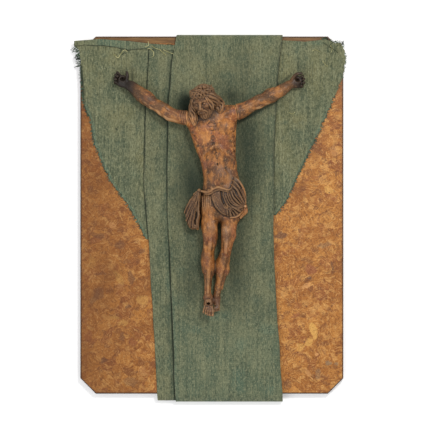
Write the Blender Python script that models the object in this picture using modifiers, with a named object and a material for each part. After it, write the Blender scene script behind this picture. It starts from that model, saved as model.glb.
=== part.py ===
"""A carved crucifix corpus on its cloth-covered board, lying face up."""

import math

import bmesh
import bpy
import numpy as np
import openvdb

# Places are worked out in mm on a sheet that the object lies on: across from its left, down from its top.
MM = 0.001
SHEET_MIDDLE = (210.0, 218.0)
FAR = 9.0


def at(across, down, up):
    """A place in mm, given in mm across and down from the sheet's top left corner, and up from the ground."""
    return np.array([across - SHEET_MIDDLE[0], SHEET_MIDDLE[1] - down, up])


def unit(v):
    v = np.asarray(v, float)
    return v / np.linalg.norm(v)


def curve(t, places, values):
    """A smooth curve through values at places, read at t."""
    places = np.asarray(places, float)
    values = np.asarray(values, float)
    slopes = np.gradient(values, places)
    t = np.clip(t, places[0], places[-1])
    k = np.clip(np.searchsorted(places, t, side="right") - 1, 0, len(places) - 2)
    width = places[k + 1] - places[k]
    s = (t - places[k]) / width
    return (
        values[k] * (1 + 2 * s) * (1 - s) ** 2
        + slopes[k] * width * s * (1 - s) ** 2
        + values[k + 1] * s * s * (3 - 2 * s)
        + slopes[k + 1] * width * s * s * (s - 1)
    )


def ball(centre, radii, axes=None):
    """An ellipsoid. The rows of axes are its own directions."""
    centre = np.asarray(centre, float)
    radii = np.broadcast_to(np.asarray(radii, float), (3,))
    axes = np.eye(3) if axes is None else np.asarray(axes, float)
    reach = np.sqrt(((axes * radii[:, None]) ** 2).sum(0))

    def distance(x, y, z):
        x = x - centre[0]
        y = y - centre[1]
        z = z - centre[2]
        near = 0
        steep = 0
        for axis, radius in zip(axes, radii):
            part = (axis[0] * x + axis[1] * y + axis[2] * z) / radius
            near = near + part * part
            steep = steep + (part / radius) ** 2
        near = np.sqrt(near)
        steep = np.sqrt(steep)
        return np.where(near < 0.02, -radii.min(), near * (near - 1) / np.maximum(steep, 1e-6))

    return distance, centre - reach, centre + reach


def bar(start, end, first, last=None, flat=1.0, side=(0, 0, 1)):
    """A round bar that tapers from one radius to another, flattened along side."""
    start = np.asarray(start, float)
    end = np.asarray(end, float)
    last = first if last is None else last
    along = end - start
    length = max(np.linalg.norm(along), 1e-6)
    along = along / length
    side = np.asarray(side, float)
    side = side - side.dot(along) * along
    if np.linalg.norm(side) < 1e-3:
        side = np.cross(along, (1, 0, 0))
    side = unit(side)
    across = np.cross(side, along)

    def distance(x, y, z):
        x = x - start[0]
        y = y - start[1]
        z = z - start[2]
        run = along[0] * x + along[1] * y + along[2] * z
        held = np.clip(run / length, 0, 1)
        u = across[0] * x + across[1] * y + across[2] * z
        v = (side[0] * x + side[1] * y + side[2] * z) / flat
        run = run - held * length
        return np.sqrt(u * u + v * v + run * run) - (first + (last - first) * held)

    reach = max(first, last) * max(1.0, flat)
    return distance, np.minimum(start, end) - reach, np.maximum(start, end) + reach


def chain(line, radii):
    """One bar that bends through many places."""
    bars = [bar(a, b, ra, rb) for a, b, ra, rb in zip(line, line[1:], radii, radii[1:])]

    def distance(x, y, z):
        nearest = bars[0][0](x, y, z)
        for link, _, _ in bars[1:]:
            nearest = np.minimum(nearest, link(x, y, z))
        return nearest

    return distance, np.min([low for _, low, _ in bars], axis=0), np.max([high for _, _, high in bars], axis=0)


def loft(levels, lefts, rights, backs, fronts, cap=4.0, power=2.0):
    """A body with an oval section at every level down the sheet."""
    middle, centre = SHEET_MIDDLE
    low_y = centre - levels[-1]
    high_y = centre - levels[0]

    def distance(x, y, z):
        down = centre - y
        left = curve(down, levels, lefts) - middle
        right = curve(down, levels, rights) - middle
        back = curve(down, levels, backs)
        front = curve(down, levels, fronts)
        a = (right - left) / 2
        b = (front - back) / 2
        u = (x - (left + right) / 2) / a
        v = (z - (front + back) / 2) / b
        near = (np.abs(u) ** power + np.abs(v) ** power) ** (1 / power)
        steep = np.sqrt((u / a) ** 2 + (v / b) ** 2) / np.maximum(np.sqrt(u * u + v * v), 1e-6)
        flatwise = (near - 1) / np.maximum(steep, 1e-6)
        ends = np.maximum(y - high_y, low_y - y) + 0 * flatwise
        h = np.maximum(cap - np.abs(flatwise - ends), 0) / cap
        return np.maximum(flatwise, ends) + h * h * cap / 4

    low = np.array([min(lefts) - middle - 1.0, low_y, min(backs) - 1.0])
    high = np.array([max(rights) - middle + 1.0, high_y, max(fronts) + 1.0])
    return distance, low, high


class Clay:
    """A block of signed distances in mm that shapes are joined to and cut from."""

    def __init__(self, low, high, cell):
        self.low = np.asarray(low, float)
        self.cell = cell
        self.count = np.ceil((np.asarray(high, float) - self.low) / cell).astype(int) + 1
        self.depth = np.full(self.count, FAR, np.float32)

    def place(self, low, high, margin):
        first = np.floor((np.asarray(low) - margin - self.low) / self.cell).astype(int)
        last = np.ceil((np.asarray(high) + margin - self.low) / self.cell).astype(int) + 1
        first = np.clip(first, 0, self.count)
        last = np.clip(last, 0, self.count)
        block = tuple(slice(a, b) for a, b in zip(first, last))
        x, y, z = (
            (self.low[i] + self.cell * np.arange(first[i], last[i])).astype(np.float32)
            for i in range(3)
        )
        return block, x[:, None, None], y[None, :, None], z[None, None, :]

    def join(self, shape, blend=0.0, margin=None):
        distance, low, high = shape
        margin = max(blend, 2.0) + 2.5 if margin is None else margin
        block, x, y, z = self.place(low, high, margin)
        old = self.depth[block]
        if old.size == 0:
            return
        new = distance(x, y, z).astype(np.float32)
        if blend:
            h = np.maximum(blend - np.abs(old - new), 0) / blend
            self.depth[block] = np.minimum(old, new) - h * h * blend / 4
        else:
            self.depth[block] = np.minimum(old, new)

    def cut(self, shape, blend=0.0, margin=None):
        distance, low, high = shape
        margin = max(blend, 2.0) + 1.0 if margin is None else margin
        block, x, y, z = self.place(low, high, margin)
        old = self.depth[block]
        if old.size == 0:
            return
        new = -distance(x, y, z).astype(np.float32)
        if blend:
            h = np.maximum(blend - np.abs(old - new), 0) / blend
            self.depth[block] = np.maximum(old, new) + h * h * blend / 4
        else:
            self.depth[block] = np.maximum(old, new)

    def front(self, x, y):
        """The height of the front surface at a place, in mm up."""
        fx = (x - self.low[0]) / self.cell
        fy = (y - self.low[1]) / self.cell
        i = int(np.clip(math.floor(fx), 0, self.count[0] - 2))
        j = int(np.clip(math.floor(fy), 0, self.count[1] - 2))
        fx = min(max(fx - i, 0.0), 1.0)
        fy = min(max(fy - j, 0.0), 1.0)
        pair = self.depth[i, j : j + 2] * (1 - fx) + self.depth[i + 1, j : j + 2] * fx
        column = pair[0] * (1 - fy) + pair[1] * fy
        inside = np.nonzero(column < 0)[0]
        if len(inside) == 0:
            return None
        k = min(inside[-1], len(column) - 2)
        a = column[k]
        b = column[k + 1]
        return float(self.low[2] + self.cell * (k + a / (a - b)))

    def merge(self, other, blend):
        """Joins another block of the same size to this one."""
        gap = np.abs(self.depth - other.depth)
        h = np.maximum(blend - gap, 0) / blend
        self.depth = np.minimum(self.depth, other.depth) - h * h * blend / 4

    def twin(self):
        """An empty block of the same size."""
        other = Clay(self.low, self.low, self.cell)
        other.count = self.count
        other.depth = np.full(self.count, FAR, np.float32)
        return other

    def mesh(self, name):
        grid = openvdb.FloatGrid(3.0)
        grid.copyFromArray(np.clip(self.depth, -3, 3))
        points, quads = grid.convertToQuads(0.0)
        points = (points * self.cell + self.low) / 1000.0
        data = bpy.data.meshes.new(name)
        data.from_pydata(points.tolist(), [], quads.tolist())
        return data


# The figure, in mm across and down the sheet and up from the ground.

HEAD_CENTRE = at(203.7, 100.4, 36.0)
HEAD_UP = unit((-0.27, 0.91, 0.31))
HEAD_FACE = unit(np.array((-0.34, -0.30, 0.88)) - np.dot((-0.34, -0.30, 0.88), HEAD_UP) * HEAD_UP)
HEAD_SIDE = np.cross(HEAD_UP, HEAD_FACE)
HEAD_AXES = np.array([HEAD_SIDE, HEAD_UP, HEAD_FACE])


def on_head(side, up, face):
    """A place on the head: mm to the figure's left, up the head and out of the face."""
    return HEAD_CENTRE + side * HEAD_SIDE + up * HEAD_UP + face * HEAD_FACE


def strand(clay, points, radii, blend, steps=12):
    """A bar bent smoothly through a few points."""
    points = np.asarray(points, float)
    places = np.linspace(0, 1, len(points))
    run = np.linspace(0, 1, steps + 1)
    line = np.stack([curve(run, places, points[:, i]) for i in range(3)], 1)
    clay.join(chain(line, np.interp(run, np.linspace(0, 1, len(radii)), radii)), blend)


def drawn_all(clay, lines, radii, blend, lift=0.0, cutting=False, uneven=0.0):
    """Strands, or grooves, on the front surface as it is before any of them is there."""
    shapes = []
    for k, marks in enumerate(lines):
        line = []
        for across, down in marks:
            x, y, _ = at(across, down, 0)
            height = clay.front(x, y)
            if height is not None:
                line.append((x, y, height + lift))
        size = np.interp(np.linspace(0, 1, len(line)), np.linspace(0, 1, len(radii)), radii)
        size = size * (1 + uneven * np.sin(2.4 * k + 1 + 5 * np.linspace(0, 1, len(line))))
        shapes.append(chain(line, size))
    for shape in shapes:
        clay.cut(shape, blend) if cutting else clay.join(shape, blend)


def drawn(clay, marks, radii, blend, lift=0.0, cutting=False, steps=12):
    """One strand, or groove, bent smoothly through marks: places across and down the sheet."""
    marks = np.asarray(marks, float)
    places = np.linspace(0, 1, len(marks))
    run = np.linspace(0, 1, steps + 1)
    line = np.stack([curve(run, places, marks[:, i]) for i in range(2)], 1)
    drawn_all(clay, [line], radii, blend, lift, cutting)


# Levels of the trunk: down the sheet, left side, right side, back and front.
TRUNK = np.array(
    (
        (108, 199, 224, 17, 29),
        (113, 190, 233, 14, 32),
        (120, 187.5, 236.3, 13.2, 34.5),
        (126, 188.2, 236.6, 13, 35.7),
        (133, 190.2, 236.2, 13, 36.3),
        (143, 193.4, 235.9, 13.2, 36),
        (153, 197.4, 235.7, 14, 34.5),
        (163, 200.9, 236.4, 15, 32.5),
        (173, 202.9, 237.7, 15.5, 31.8),
        (183, 203.5, 240.3, 15, 32.3),
        (190, 202.8, 243.5, 14, 33.2),
        (198, 201.8, 245.3, 13.5, 33.6),
        (206, 201.2, 244.6, 13.5, 33),
        (214, 201.6, 240.5, 14, 31),
        (222, 203.2, 237, 16, 27),
    )
)
RIGHT_LEG = np.array(
    (
        (198, 201.6, 220, 13.6, 32.5),
        (215, 200.9, 218.2, 14, 33.2),
        (227, 201.5, 217.5, 15, 34),
        (238, 203.4, 217.7, 17, 35),
        (245, 203.5, 216.5, 19, 36),
        (251, 202.5, 214.4, 18.5, 34),
        (260, 201.2, 214.1, 16.5, 31.5),
        (268, 202.2, 213.8, 15.8, 30),
        (277, 203.8, 212.2, 16, 28),
        (288, 204.2, 211.2, 17, 26.5),
        (299, 204.0, 211.7, 17.5, 26.5),
    )
)
LEFT_LEG = np.array(
    (
        (198, 221, 244, 13.6, 32.5),
        (215, 220.6, 240.3, 14, 33),
        (226, 220.8, 237, 14.5, 33),
        (238, 221.6, 232.7, 16.5, 34),
        (249, 220.6, 230.9, 18.5, 35),
        (256, 218.6, 230, 17.5, 32),
        (264, 216.5, 228.2, 15, 29.5),
        (275, 216.1, 225, 14, 27),
        (286, 214.8, 221.8, 14.5, 24),
        (298, 213.8, 219.6, 15, 22.5),
    )
)
# Joints of each arm: across, down, up and the arm's radius there.
RIGHT_ARM = np.array(
    (
        (194, 118.8, 25, 6.6),
        (181, 117.3, 25, 6.3),
        (170, 114.2, 24, 6.1),
        (163, 109.4, 23.5, 6.1),
        (157, 105.6, 23, 5.3),
        (153.2, 103.6, 22.5, 5.0),
        (149.6, 100.4, 22, 6.2),
        (145.4, 97.3, 21.5, 6.9),
        (139.3, 92.8, 20.5, 5.8),
        (134.2, 88.4, 19.5, 4.9),
        (129.8, 85.4, 18.8, 4.3),
    )
)
LEFT_ARM = np.array(
    (
        (230, 113.2, 25, 7.0),
        (239, 111.4, 25, 7.1),
        (246, 108.6, 24.5, 6.0),
        (252, 105.2, 24, 5.5),
        (258, 102.1, 23.5, 5.8),
        (262, 100.4, 23, 5.4),
        (265.4, 99.2, 22.5, 5.2),
        (270.2, 95.7, 22, 6.9),
        (276.3, 93.0, 21, 5.6),
        (281, 90.6, 20.5, 4.8),
        (288.5, 85, 18.8, 4.1),
    )
)
RIGHT_JOINT = at(187.2, 118.4, 25)
RIGHT_OUTWARD = unit((-1.0, 0.12, 0.0))
LEFT_JOINT = at(236.7, 111.6, 25)
LEFT_OUTWARD = unit((1.0, 0.15, 0.0))
JOINT_GAP = 0.34


def beyond(place, outward, reach):
    """All that lies outward of a plane, within a ball round a place on it."""
    place = np.asarray(place, float)

    def distance(x, y, z):
        x = x - place[0]
        y = y - place[1]
        z = z - place[2]
        past = outward[0] * x + outward[1] * y + outward[2] * z
        return np.maximum(-past, np.sqrt(x * x + y * y + z * z) - reach)

    return distance, place - reach, place + reach


def limb(clay, joints, blend=2.0):
    """An arm through its joints, with the swell of the muscles between them."""
    run = np.linspace(0, len(joints) - 1, 4 * (len(joints) - 1) + 1)
    line = [curve(run, np.arange(len(joints)), joints[:, i]) for i in range(4)]
    spots = [at(a, d, u) for a, d, u in zip(*line[:3])]
    for a, b, ra, rb in zip(spots, spots[1:], line[3], line[3][1:]):
        clay.join(bar(a, b, ra, rb, 0.94), blend, 6.0)


def shape_head(clay):
    clay.join(bar(at(209.5, 117, 26), on_head(0, -5, -3), 8.4, 7.4), 4, 9)
    skull = ball(on_head(0, 2.6, -1.2), (10.4, 12.0, 12.2), HEAD_AXES)
    clay.join(skull, 3, 9)
    clay.join(ball(on_head(0, -4.6, 4.2), (7.7, 10.2, 7.6), HEAD_AXES), 3, 9)
    clay.join(ball(on_head(0, -10.2, 5.2), (5.6, 4.6, 6.0), HEAD_AXES), 3, 9)
    # Brow, cheekbones, nose, lips and chin.
    clay.join(bar(on_head(-5.4, 2.0, 9.4), on_head(5.4, 2.0, 9.4), 1.5), 2.5)
    for side in (-1, 1):
        clay.join(ball(on_head(side * 5.3, -3.2, 8.6), (2.7, 2.2, 2.4), HEAD_AXES), 3)
        clay.cut(ball(on_head(side * 3.7, -0.3, 12.6), (2.7, 1.7, 2.3), HEAD_AXES), 1.4)
        clay.join(ball(on_head(side * 3.8, -0.5, 9.6), (2.3, 1.5, 1.7), HEAD_AXES), 0.5)
    clay.join(bar(on_head(0, 1.8, 11.0), on_head(0, -4.2, 14.3), 1.0, 1.45), 1.3)
    clay.join(ball(on_head(0, -4.9, 12.9), (2.5, 1.25, 1.6), HEAD_AXES), 0.8)
    clay.join(bar(on_head(-2.2, -7.6, 11.4), on_head(2.2, -7.6, 11.4), 1.35), 1.2)
    clay.join(bar(on_head(-1.8, -9.4, 11.1), on_head(1.8, -9.4, 11.1), 1.2), 1.0)
    clay.cut(bar(on_head(-2.5, -8.5, 12.8), on_head(2.5, -8.5, 12.8), 0.42), 0.3)


def tress(clay, points, radii, locks, size, waves, steps=22):
    """A thick tress of hair: a round core with wavy locks laid side by side over its front and sides."""
    points = np.asarray(points, float)
    places = np.linspace(0, 1, len(points))
    run = np.linspace(0, 1, steps + 1)
    middle = np.stack([curve(run, places, points[:, i]) for i in range(3)], 1)
    thick = curve(run, np.linspace(0, 1, len(radii)), radii)
    ahead = np.gradient(middle, axis=0)
    clay.join(chain(middle, 0.9 * thick), 0.6)
    for k in range(locks):
        start = math.radians(-115 + 230 * k / (locks - 1))
        line = []
        for t, spot, reach, way in zip(run, middle, thick, ahead):
            way = unit(way)
            face = unit(np.array((0, 0, 1.0)) - way[2] * way)
            side = np.cross(face, way)
            turn = start + 0.34 * math.sin(2 * math.pi * waves * t + 1.1 * k)
            line.append(spot + reach * (math.sin(turn) * side + math.cos(turn) * face))
        taper = np.interp(run, (0, 0.12, 0.8, 1), (0.5, 1, 1, 0.45)) * size
        taper = taper * (1 + 0.2 * np.sin(2.1 * k + 6 * run))
        clay.join(chain(line, taper), 0.12)


CAP_LOCKS = 30
NAPE_LOCKS = 9
BEARD_ROWS = 2
BEARD_LOCKS = 9
SKULL = on_head(0, 2.6, -1.2)
SKULL_RADII = np.array((11.6, 12.9, 13.1))


def on_skull(turn, fall, out=0.0):
    """A place on the hair: turn round the head from its front, and fall down from its crown, in radians."""
    way = np.array((math.sin(turn) * math.sin(fall), math.cos(fall), math.cos(turn) * math.sin(fall)))
    return SKULL + (SKULL_RADII + out) * way @ HEAD_AXES


def shape_hair(clay):
    hair = clay.twin()
    # The cap over the skull, with locks that run down it from the crown.
    hair.join(ball(SKULL, SKULL_RADII - 0.7, HEAD_AXES), 0, 6)
    for k in range(CAP_LOCKS):
        turn = 2 * math.pi * (k + 0.5) / CAP_LOCKS
        line = [
            on_skull(turn + 0.10 * math.sin(5.2 * fall + 1.3 * k), fall, -0.35)
            for fall in np.linspace(0.12, 1.95 if abs(turn - math.pi) < 2.1 else 1.05, 12)
        ]
        hair.join(chain(line, np.linspace(0.55, 1.5, len(line))), 0.15)
    # Tresses beside the face and down the neck: the figure's right, then its left.
    right = (
        on_head(-8.2, 5.0, 5.0),
        on_head(-9.8, 0.5, 3.6),
        at(192.8, 107.0, 33.2),
        at(193.4, 113.5, 33.0),
        at(194.0, 120.0, 34.4),
        at(195.0, 125.4, 35.0),
    )
    tress(hair, right, (2.2, 2.7, 3.0, 3.4, 3.0, 1.0), 7, 1.15, 2.6)
    inner = (on_head(-6.4, 6, 8.4), on_head(-8.4, 0.6, 7.2), on_head(-9.0, -5.4, 5.8), on_head(-8.6, -10, 4.2))
    tress(hair, inner, (1.2, 1.8, 1.9, 1.0), 4, 0.95, 1.6, 14)
    left = (
        on_head(8.6, 7.0, 4.2),
        on_head(10.6, 2.6, 3.2),
        at(217.4, 102.6, 33.8),
        at(219.4, 107.8, 32.6),
        at(219.8, 113.4, 32.2),
    )
    tress(hair, left, (2.2, 3.4, 4.4, 4.0, 1.2), 7, 1.25, 2.3)
    outer = (on_head(10.0, 4.4, -1.0), at(217.6, 99.6, 30.4), at(221.4, 104.6, 29.6), at(222.2, 110.2, 29.4))
    tress(hair, outer, (2.2, 2.6, 2.4, 1.0), 5, 1.2, 1.9, 14)
    inner = (on_head(6.2, 6.0, 8.4), on_head(8.4, 0.8, 7.2), on_head(9.0, -4.8, 6.0), on_head(9.4, -10.0, 4.6))
    tress(hair, inner, (1.2, 1.8, 1.9, 1.0), 4, 0.95, 1.6, 14)
    # The back of the hair lies on the shoulders.
    hair.join(ball(at(206, 104, 26), (14.0, 10.5, 8.0)), 3, 6)
    for k in range(NAPE_LOCKS):
        across = 194.5 + 2.9 * k
        line = (
            at(across + 1.0, 100, 33 - 0.25 * abs(k - 4)),
            at(across - 0.6, 106, 31),
            at(across + 0.8, 112, 28.5),
            at(across, 117, 26.5),
        )
        strand(hair, line, (1.5, 1.7, 1.6, 0.9), 0.3, 10)
    # The face stays open, from the wreath down to the beard.
    hair.cut(ball(on_head(0.2, -4.5, 13.6), (6.6, 12.4, 10.4), HEAD_AXES), 0.8)
    clay.merge(hair, 0.35)
    # The beard in two rows of curled locks, and the moustache.
    for row in range(BEARD_ROWS):
        count = BEARD_LOCKS - 2 * row
        for k in range(count):
            turn = math.radians(-80 + 160 * k / (count - 1))
            side = math.sin(turn)
            front = math.cos(turn)
            top = on_head(7.3 * side, -6.6 - 1.6 * front - 2.6 * row, 2.6 + (7.0 - 0.6 * row) * front)
            middle = on_head(6.3 * side + 0.5, -10.6 - 1.4 * row, 3.2 + (7.2 - 0.3 * row) * front)
            low = on_head(4.4 * side - 0.3, -13.6 - 1.2 * row, 3.4 + (6.2 + 0.4 * row) * front)
            curl = math.copysign(0.7, side + 0.01)
            tip = on_head(2.9 * side + curl, -15.6 - 1.5 * row, 4.0 + 4.8 * front)
            strand(clay, (top, middle, low, tip), (0.9, 1.15, 1.05, 0.5), 0.08, 10)
    for side in (-1, 1):
        places = ((0.3, -6.2, 13.0), (2.6, -6.6, 12.5), (4.4, -8.8, 10.9), (5.0, -11.4, 9.2))
        line = [on_head(side * across, up, face) for across, up, face in places]
        strand(clay, line, (0.7, 0.9, 0.8, 0.4), 0.15, 10)


WREATH_LEVEL = 7.8
WREATH_PAIRS = 3
WREATH_TURNS = 7
WREATH_STEPS = 190
THORNS = 15


def shape_wreath(clay):
    """A tall plaited ring round the crown of the head, wound both ways, with short thorns."""
    for sense in (-1, 1):
        for pair in range(WREATH_PAIRS):
            line = []
            for k in range(WREATH_STEPS + 1):
                turn = 2 * math.pi * k / WREATH_STEPS
                wind = sense * WREATH_TURNS * turn + 2 * math.pi * pair / WREATH_PAIRS
                out = 1.2 * math.cos(wind)
                rise = 3.1 * math.sin(wind)
                side = (10.4 + out) * math.sin(turn)
                face = (11.3 + out) * math.cos(turn) - 1.2
                line.append(on_head(side, WREATH_LEVEL + rise + 1.2 * math.cos(turn), face))
            for a, b in zip(line, line[1:]):
                clay.join(bar(a, b, 0.95), 0.1)
    for k in range(THORNS):
        turn = 2 * math.pi * (k + 0.3 * math.sin(5 * k)) / THORNS
        up = WREATH_LEVEL + 2.4 * math.sin(2.4 * k)
        root = on_head(11.2 * math.sin(turn), up, 12.1 * math.cos(turn) - 1.2)
        lean = turn + 0.1
        tip = on_head(12.8 * math.sin(lean), up + 1.2 * math.cos(3 * k), 13.7 * math.cos(lean) - 1.2)
        clay.join(bar(root, tip, 0.8, 0.4), 0.2)


def ring(clay, across, down, wide, high, radius, lean=0.0):
    """A shallow oval groove cut into the front."""
    marks = []
    for k in range(17):
        turn = 2 * math.pi * k / 16
        x = wide * math.cos(turn)
        y = high * math.sin(turn)
        marks.append((across + x - y * lean, down + x * lean + y))
    drawn(clay, marks, (radius, radius), 0.4, 0.15, True, 32)


RIBS = 5
RIB_STEP = 4.9
RIB_LIFT = 0.95


def shape_trunk(clay):
    clay.join(loft(*TRUNK.T, cap=6.0, power=2.25), 0, 9)
    clay.join(bar(at(213, 114.5, 24.5), at(190, 118.6, 25), 7.6, 6.6), 5, 9)
    clay.join(bar(at(213, 113.5, 24.5), at(234, 112.2, 25), 7.6, 7.0), 5, 9)
    # Breast, shoulder caps and the collarbones.
    clay.join(ball(at(200.2, 129.0, 31.2), (9.6, 7.6, 5.4)), 3.5)
    clay.join(ball(at(225.6, 127.0, 31.2), (9.9, 7.9, 5.4)), 3.5)
    clay.join(ball(at(190.8, 118.8, 27.5), (5.6, 6.8, 5.0)), 3)
    clay.join(ball(at(232.2, 113.6, 27.5), (6.0, 7.0, 5.2)), 3)
    clay.join(bar(at(209.5, 121.4, 33.6), at(193, 115.4, 31.4), 1.3, 1.1), 1.8)
    clay.join(bar(at(216, 120.8, 33.6), at(231, 109.5, 30.6), 1.3, 1.1), 1.8)
    # The breastbone, the arch of the ribs and the hollow below it.
    clay.cut(ball(at(214.8, 158, 39.0), (8.6, 10.5, 6.0)), 4)
    drawn(clay, ((212.2, 131), (212.6, 138), (213.4, 146)), (1.1, 1.2), 2.4, 1.0, True)
    drawn(clay, ((213.0, 147), (208, 149.5), (204.0, 155), (202.4, 161)), (1.3, 1.3, 0.7), 3.2, -0.7)
    drawn(clay, ((213.8, 147), (220, 148.5), (226.4, 153), (232.0, 159)), (1.3, 1.3, 0.7), 3.2, -0.7)
    for k in range(RIBS):
        fall = RIB_STEP * k
        left = ((204.0 - 0.5 * k, 136.5), (199.6 + 0.3 * k, 136.0), (192.2 + 1.9 * k, 132.0))
        right = ((223.0 + 1.0 * k, 135.5), (228.6 + 0.5 * k, 135.2), (236.4, 131.0))
        for rib in (left, right):
            rib = [(across, down + fall) for across, down in rib]
            drawn(clay, rib, (0.3, 0.8, 1.0), 1.2, RIB_LIFT, True, 16)
    # Small carved marks: a ring at the throat, studs down the breastbone and ovals on the belly.
    ring(clay, 211.8, 125.2, 4.4, 2.1, 0.42, -0.08)
    drawn(clay, ((208.2, 130.2), (212, 130.8), (215.8, 130.0)), (0.35, 0.45, 0.35), 0.4, 0.15, True, 12)
    ring(clay, 212.8, 137.8, 1.7, 2.3, 0.34)
    ring(clay, 213.6, 144.2, 1.4, 1.9, 0.34)
    ring(clay, 208.0, 158.8, 1.7, 3.4, 0.38, 0.12)
    ring(clay, 216.6, 155.6, 1.8, 2.9, 0.38, -0.1)
    # The belly, its middle line, sides and navel.
    clay.join(ball(at(217.8, 176, 27.4), (11.5, 11, 6.2)), 4)
    drawn(clay, ((214.6, 148), (216.0, 154), (217.4, 162)), (0.5, 0.6), 2.2, 0.7, True, 16)
    drawn(clay, ((206.8, 156), (206.2, 164), (207.6, 171), (209.6, 178)), (0.5, 1.2, 0.4), 3.0, 1.1, True, 20)
    drawn(clay, ((224.0, 157), (225.4, 164), (228.0, 170), (229.6, 175)), (0.5, 1.2, 0.4), 3.0, 1.1, True, 20)
    clay.cut(ball(at(217.6, 164.4, 33.2), (1.2, 1.7, 2.0)), 0.8)


def shape_legs(clay):
    clay.join(loft(*RIGHT_LEG.T, cap=4.0), 3.5, 9)
    clay.join(loft(*LEFT_LEG.T, cap=4.0), 3.5, 9)
    # Knee caps with the hollows beside them, the thigh muscles above and the calves below.
    for knee in (at(209.9, 245.8, 33.4), at(226.0, 249.8, 32.2)):
        clay.join(ball(knee, (3.9, 4.3, 3.3)), 1.8)
    hollows = (
        ((205.4, 237), (206.0, 243.5), (206.6, 250.5)),
        ((214.4, 237), (214.0, 243.5), (212.8, 250.5)),
        ((222.8, 240), (222.2, 247.5), (222.6, 254.5)),
        ((230.0, 241), (229.8, 248), (228.6, 254.5)),
    )
    for hollow in hollows:
        drawn(clay, hollow, (0.5, 1.2, 0.5), 2.4, 0.95, True, 16)
    for across, down, up in ((206.4, 231, 30.6), (213.8, 229, 30.4), (224.6, 234, 30.2), (233.0, 231, 28.4)):
        clay.join(ball(at(across, down, up), (3.2, 9.0, 3.6)), 3.0)
    for across, down, up in ((204.2, 264, 23.6), (212.0, 266, 22.6), (218.2, 268, 21.6), (227.0, 266, 21.8)):
        clay.join(ball(at(across, down, up), (2.6, 9.5, 4.0)), 2.6)
    drawn(clay, ((209.2, 253), (208.6, 268), (208.2, 292)), (1.3, 1.1, 0.9), 2.6, -0.75, False, 24)
    drawn(clay, ((225.0, 257), (222.4, 270), (218.2, 292)), (1.3, 1.1, 0.9), 2.6, -0.75, False, 24)
    drawn(clay, ((206.0, 270), (205.6, 282), (206.2, 294)), (0.3, 0.5, 0.3), 1.2, 0.3, True, 16)
    drawn(clay, ((211.2, 272), (210.4, 284), (210.0, 294)), (0.3, 0.5, 0.3), 1.2, 0.3, True, 16)


def shape_feet(clay):
    # The right foot lies in front, the left one beside and behind it.
    clay.join(bar(at(207.8, 296.5, 21.6), at(207.8, 301.5, 18.0), 3.9, 3.5), 2, 5)
    for across in (204.6, 210.9):
        clay.join(ball(at(across, 297.6, 22.4), (1.5, 1.9, 1.9)), 1.2)
    instep = unit(np.array((0, 0.62, 0.78)))
    clay.join(bar(at(208.0, 298.5, 22.6), at(208.2, 307.8, 25.6), 3.9, 4.6, 0.62, instep), 2, 5)
    for k in range(5):
        root = at(204.9 + 1.75 * k, 305.4 + 0.35 * k, 26.8 + 0.1 * k)
        joint = at(204.0 + 2.15 * k, 309.4 + 0.9 * k - 0.1 * k * k, 28.0 + 0.1 * k)
        tip = at(203.7 + 2.25 * k, 312.2 + 1.3 * k - 0.15 * k * k, 26.6 + 0.1 * k)
        size = 0.92 + 0.12 * k
        clay.join(bar(root, joint, size, size + 0.05), 0.25)
        clay.join(bar(joint, tip, size + 0.05, size), 0.2)
    for k in range(4):
        line = (at(206.2 + 1.3 * k, 299.5, 26.2), at(205.9 + 1.7 * k, 304.6, 28.2))
        clay.join(bar(line[0], line[1], 0.5, 0.6), 0.8)
    clay.join(bar(at(216.6, 296.5, 18.2), at(216.8, 301.5, 16.6), 3.2, 3.2), 2, 5)
    clay.join(bar(at(216.8, 299, 18.6), at(216.8, 307.0, 20.2), 3.2, 3.3, 0.7, instep), 2, 5)
    for k in range(4):
        root = at(214.9 + 1.25 * k, 305.0, 21.2)
        joint = at(214.9 + 1.4 * k, 308.8 - 0.3 * k, 22.4 - 0.3 * k)
        tip = at(214.9 + 1.5 * k, 311.8 - 0.6 * k, 21.2 - 0.3 * k)
        clay.join(bar(root, joint, 0.95, 0.95), 0.25)
        clay.join(bar(joint, tip, 0.95, 0.85), 0.2)
    clay.join(bar(at(211.5, 300, 19), at(214.5, 301.5, 18), 2.4), 1.5)
    clay.cut(bar(at(208.5, 303.2, 32), at(208.5, 303.2, 24.0), 1.0, 0.9), 0.3)
    clay.cut(bar(at(214.7, 306.2, 31), at(214.7, 305.8, 19), 0.9, 0.8), 0.3)


def smoothed(points, rounds=2):
    """A closed line with its corners cut off."""
    points = np.asarray(points, float)
    for _ in range(rounds):
        after = np.roll(points, -1, axis=0)
        points = np.stack([0.75 * points + 0.25 * after, 0.25 * points + 0.75 * after], 1).reshape(-1, 2)
    return points


def outside(outline):
    """How far a place is outside this outline on the sheet, in mm; below nought inside it."""
    corners = smoothed(outline) * (1, -1) + (-SHEET_MIDDLE[0], SHEET_MIDDLE[1])

    def distance(x, y):
        nearest = np.full(x.shape, 1e9)
        inside = np.zeros(x.shape, bool)
        for (ax, ay), (bx, by) in zip(corners, np.roll(corners, -1, axis=0)):
            along_x = bx - ax
            along_y = by - ay
            share = ((x - ax) * along_x + (y - ay) * along_y) / (along_x ** 2 + along_y ** 2)
            share = np.clip(share, 0, 1)
            nearest = np.minimum(nearest, (x - ax - share * along_x) ** 2 + (y - ay - share * along_y) ** 2)
            if ay != by:
                inside ^= ((ay > y) != (by > y)) & (x < ax + (y - ay) * along_x / along_y)
        return np.where(inside, -1, 1) * np.sqrt(nearest)

    return distance, corners.min(axis=0), corners.max(axis=0)


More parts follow.
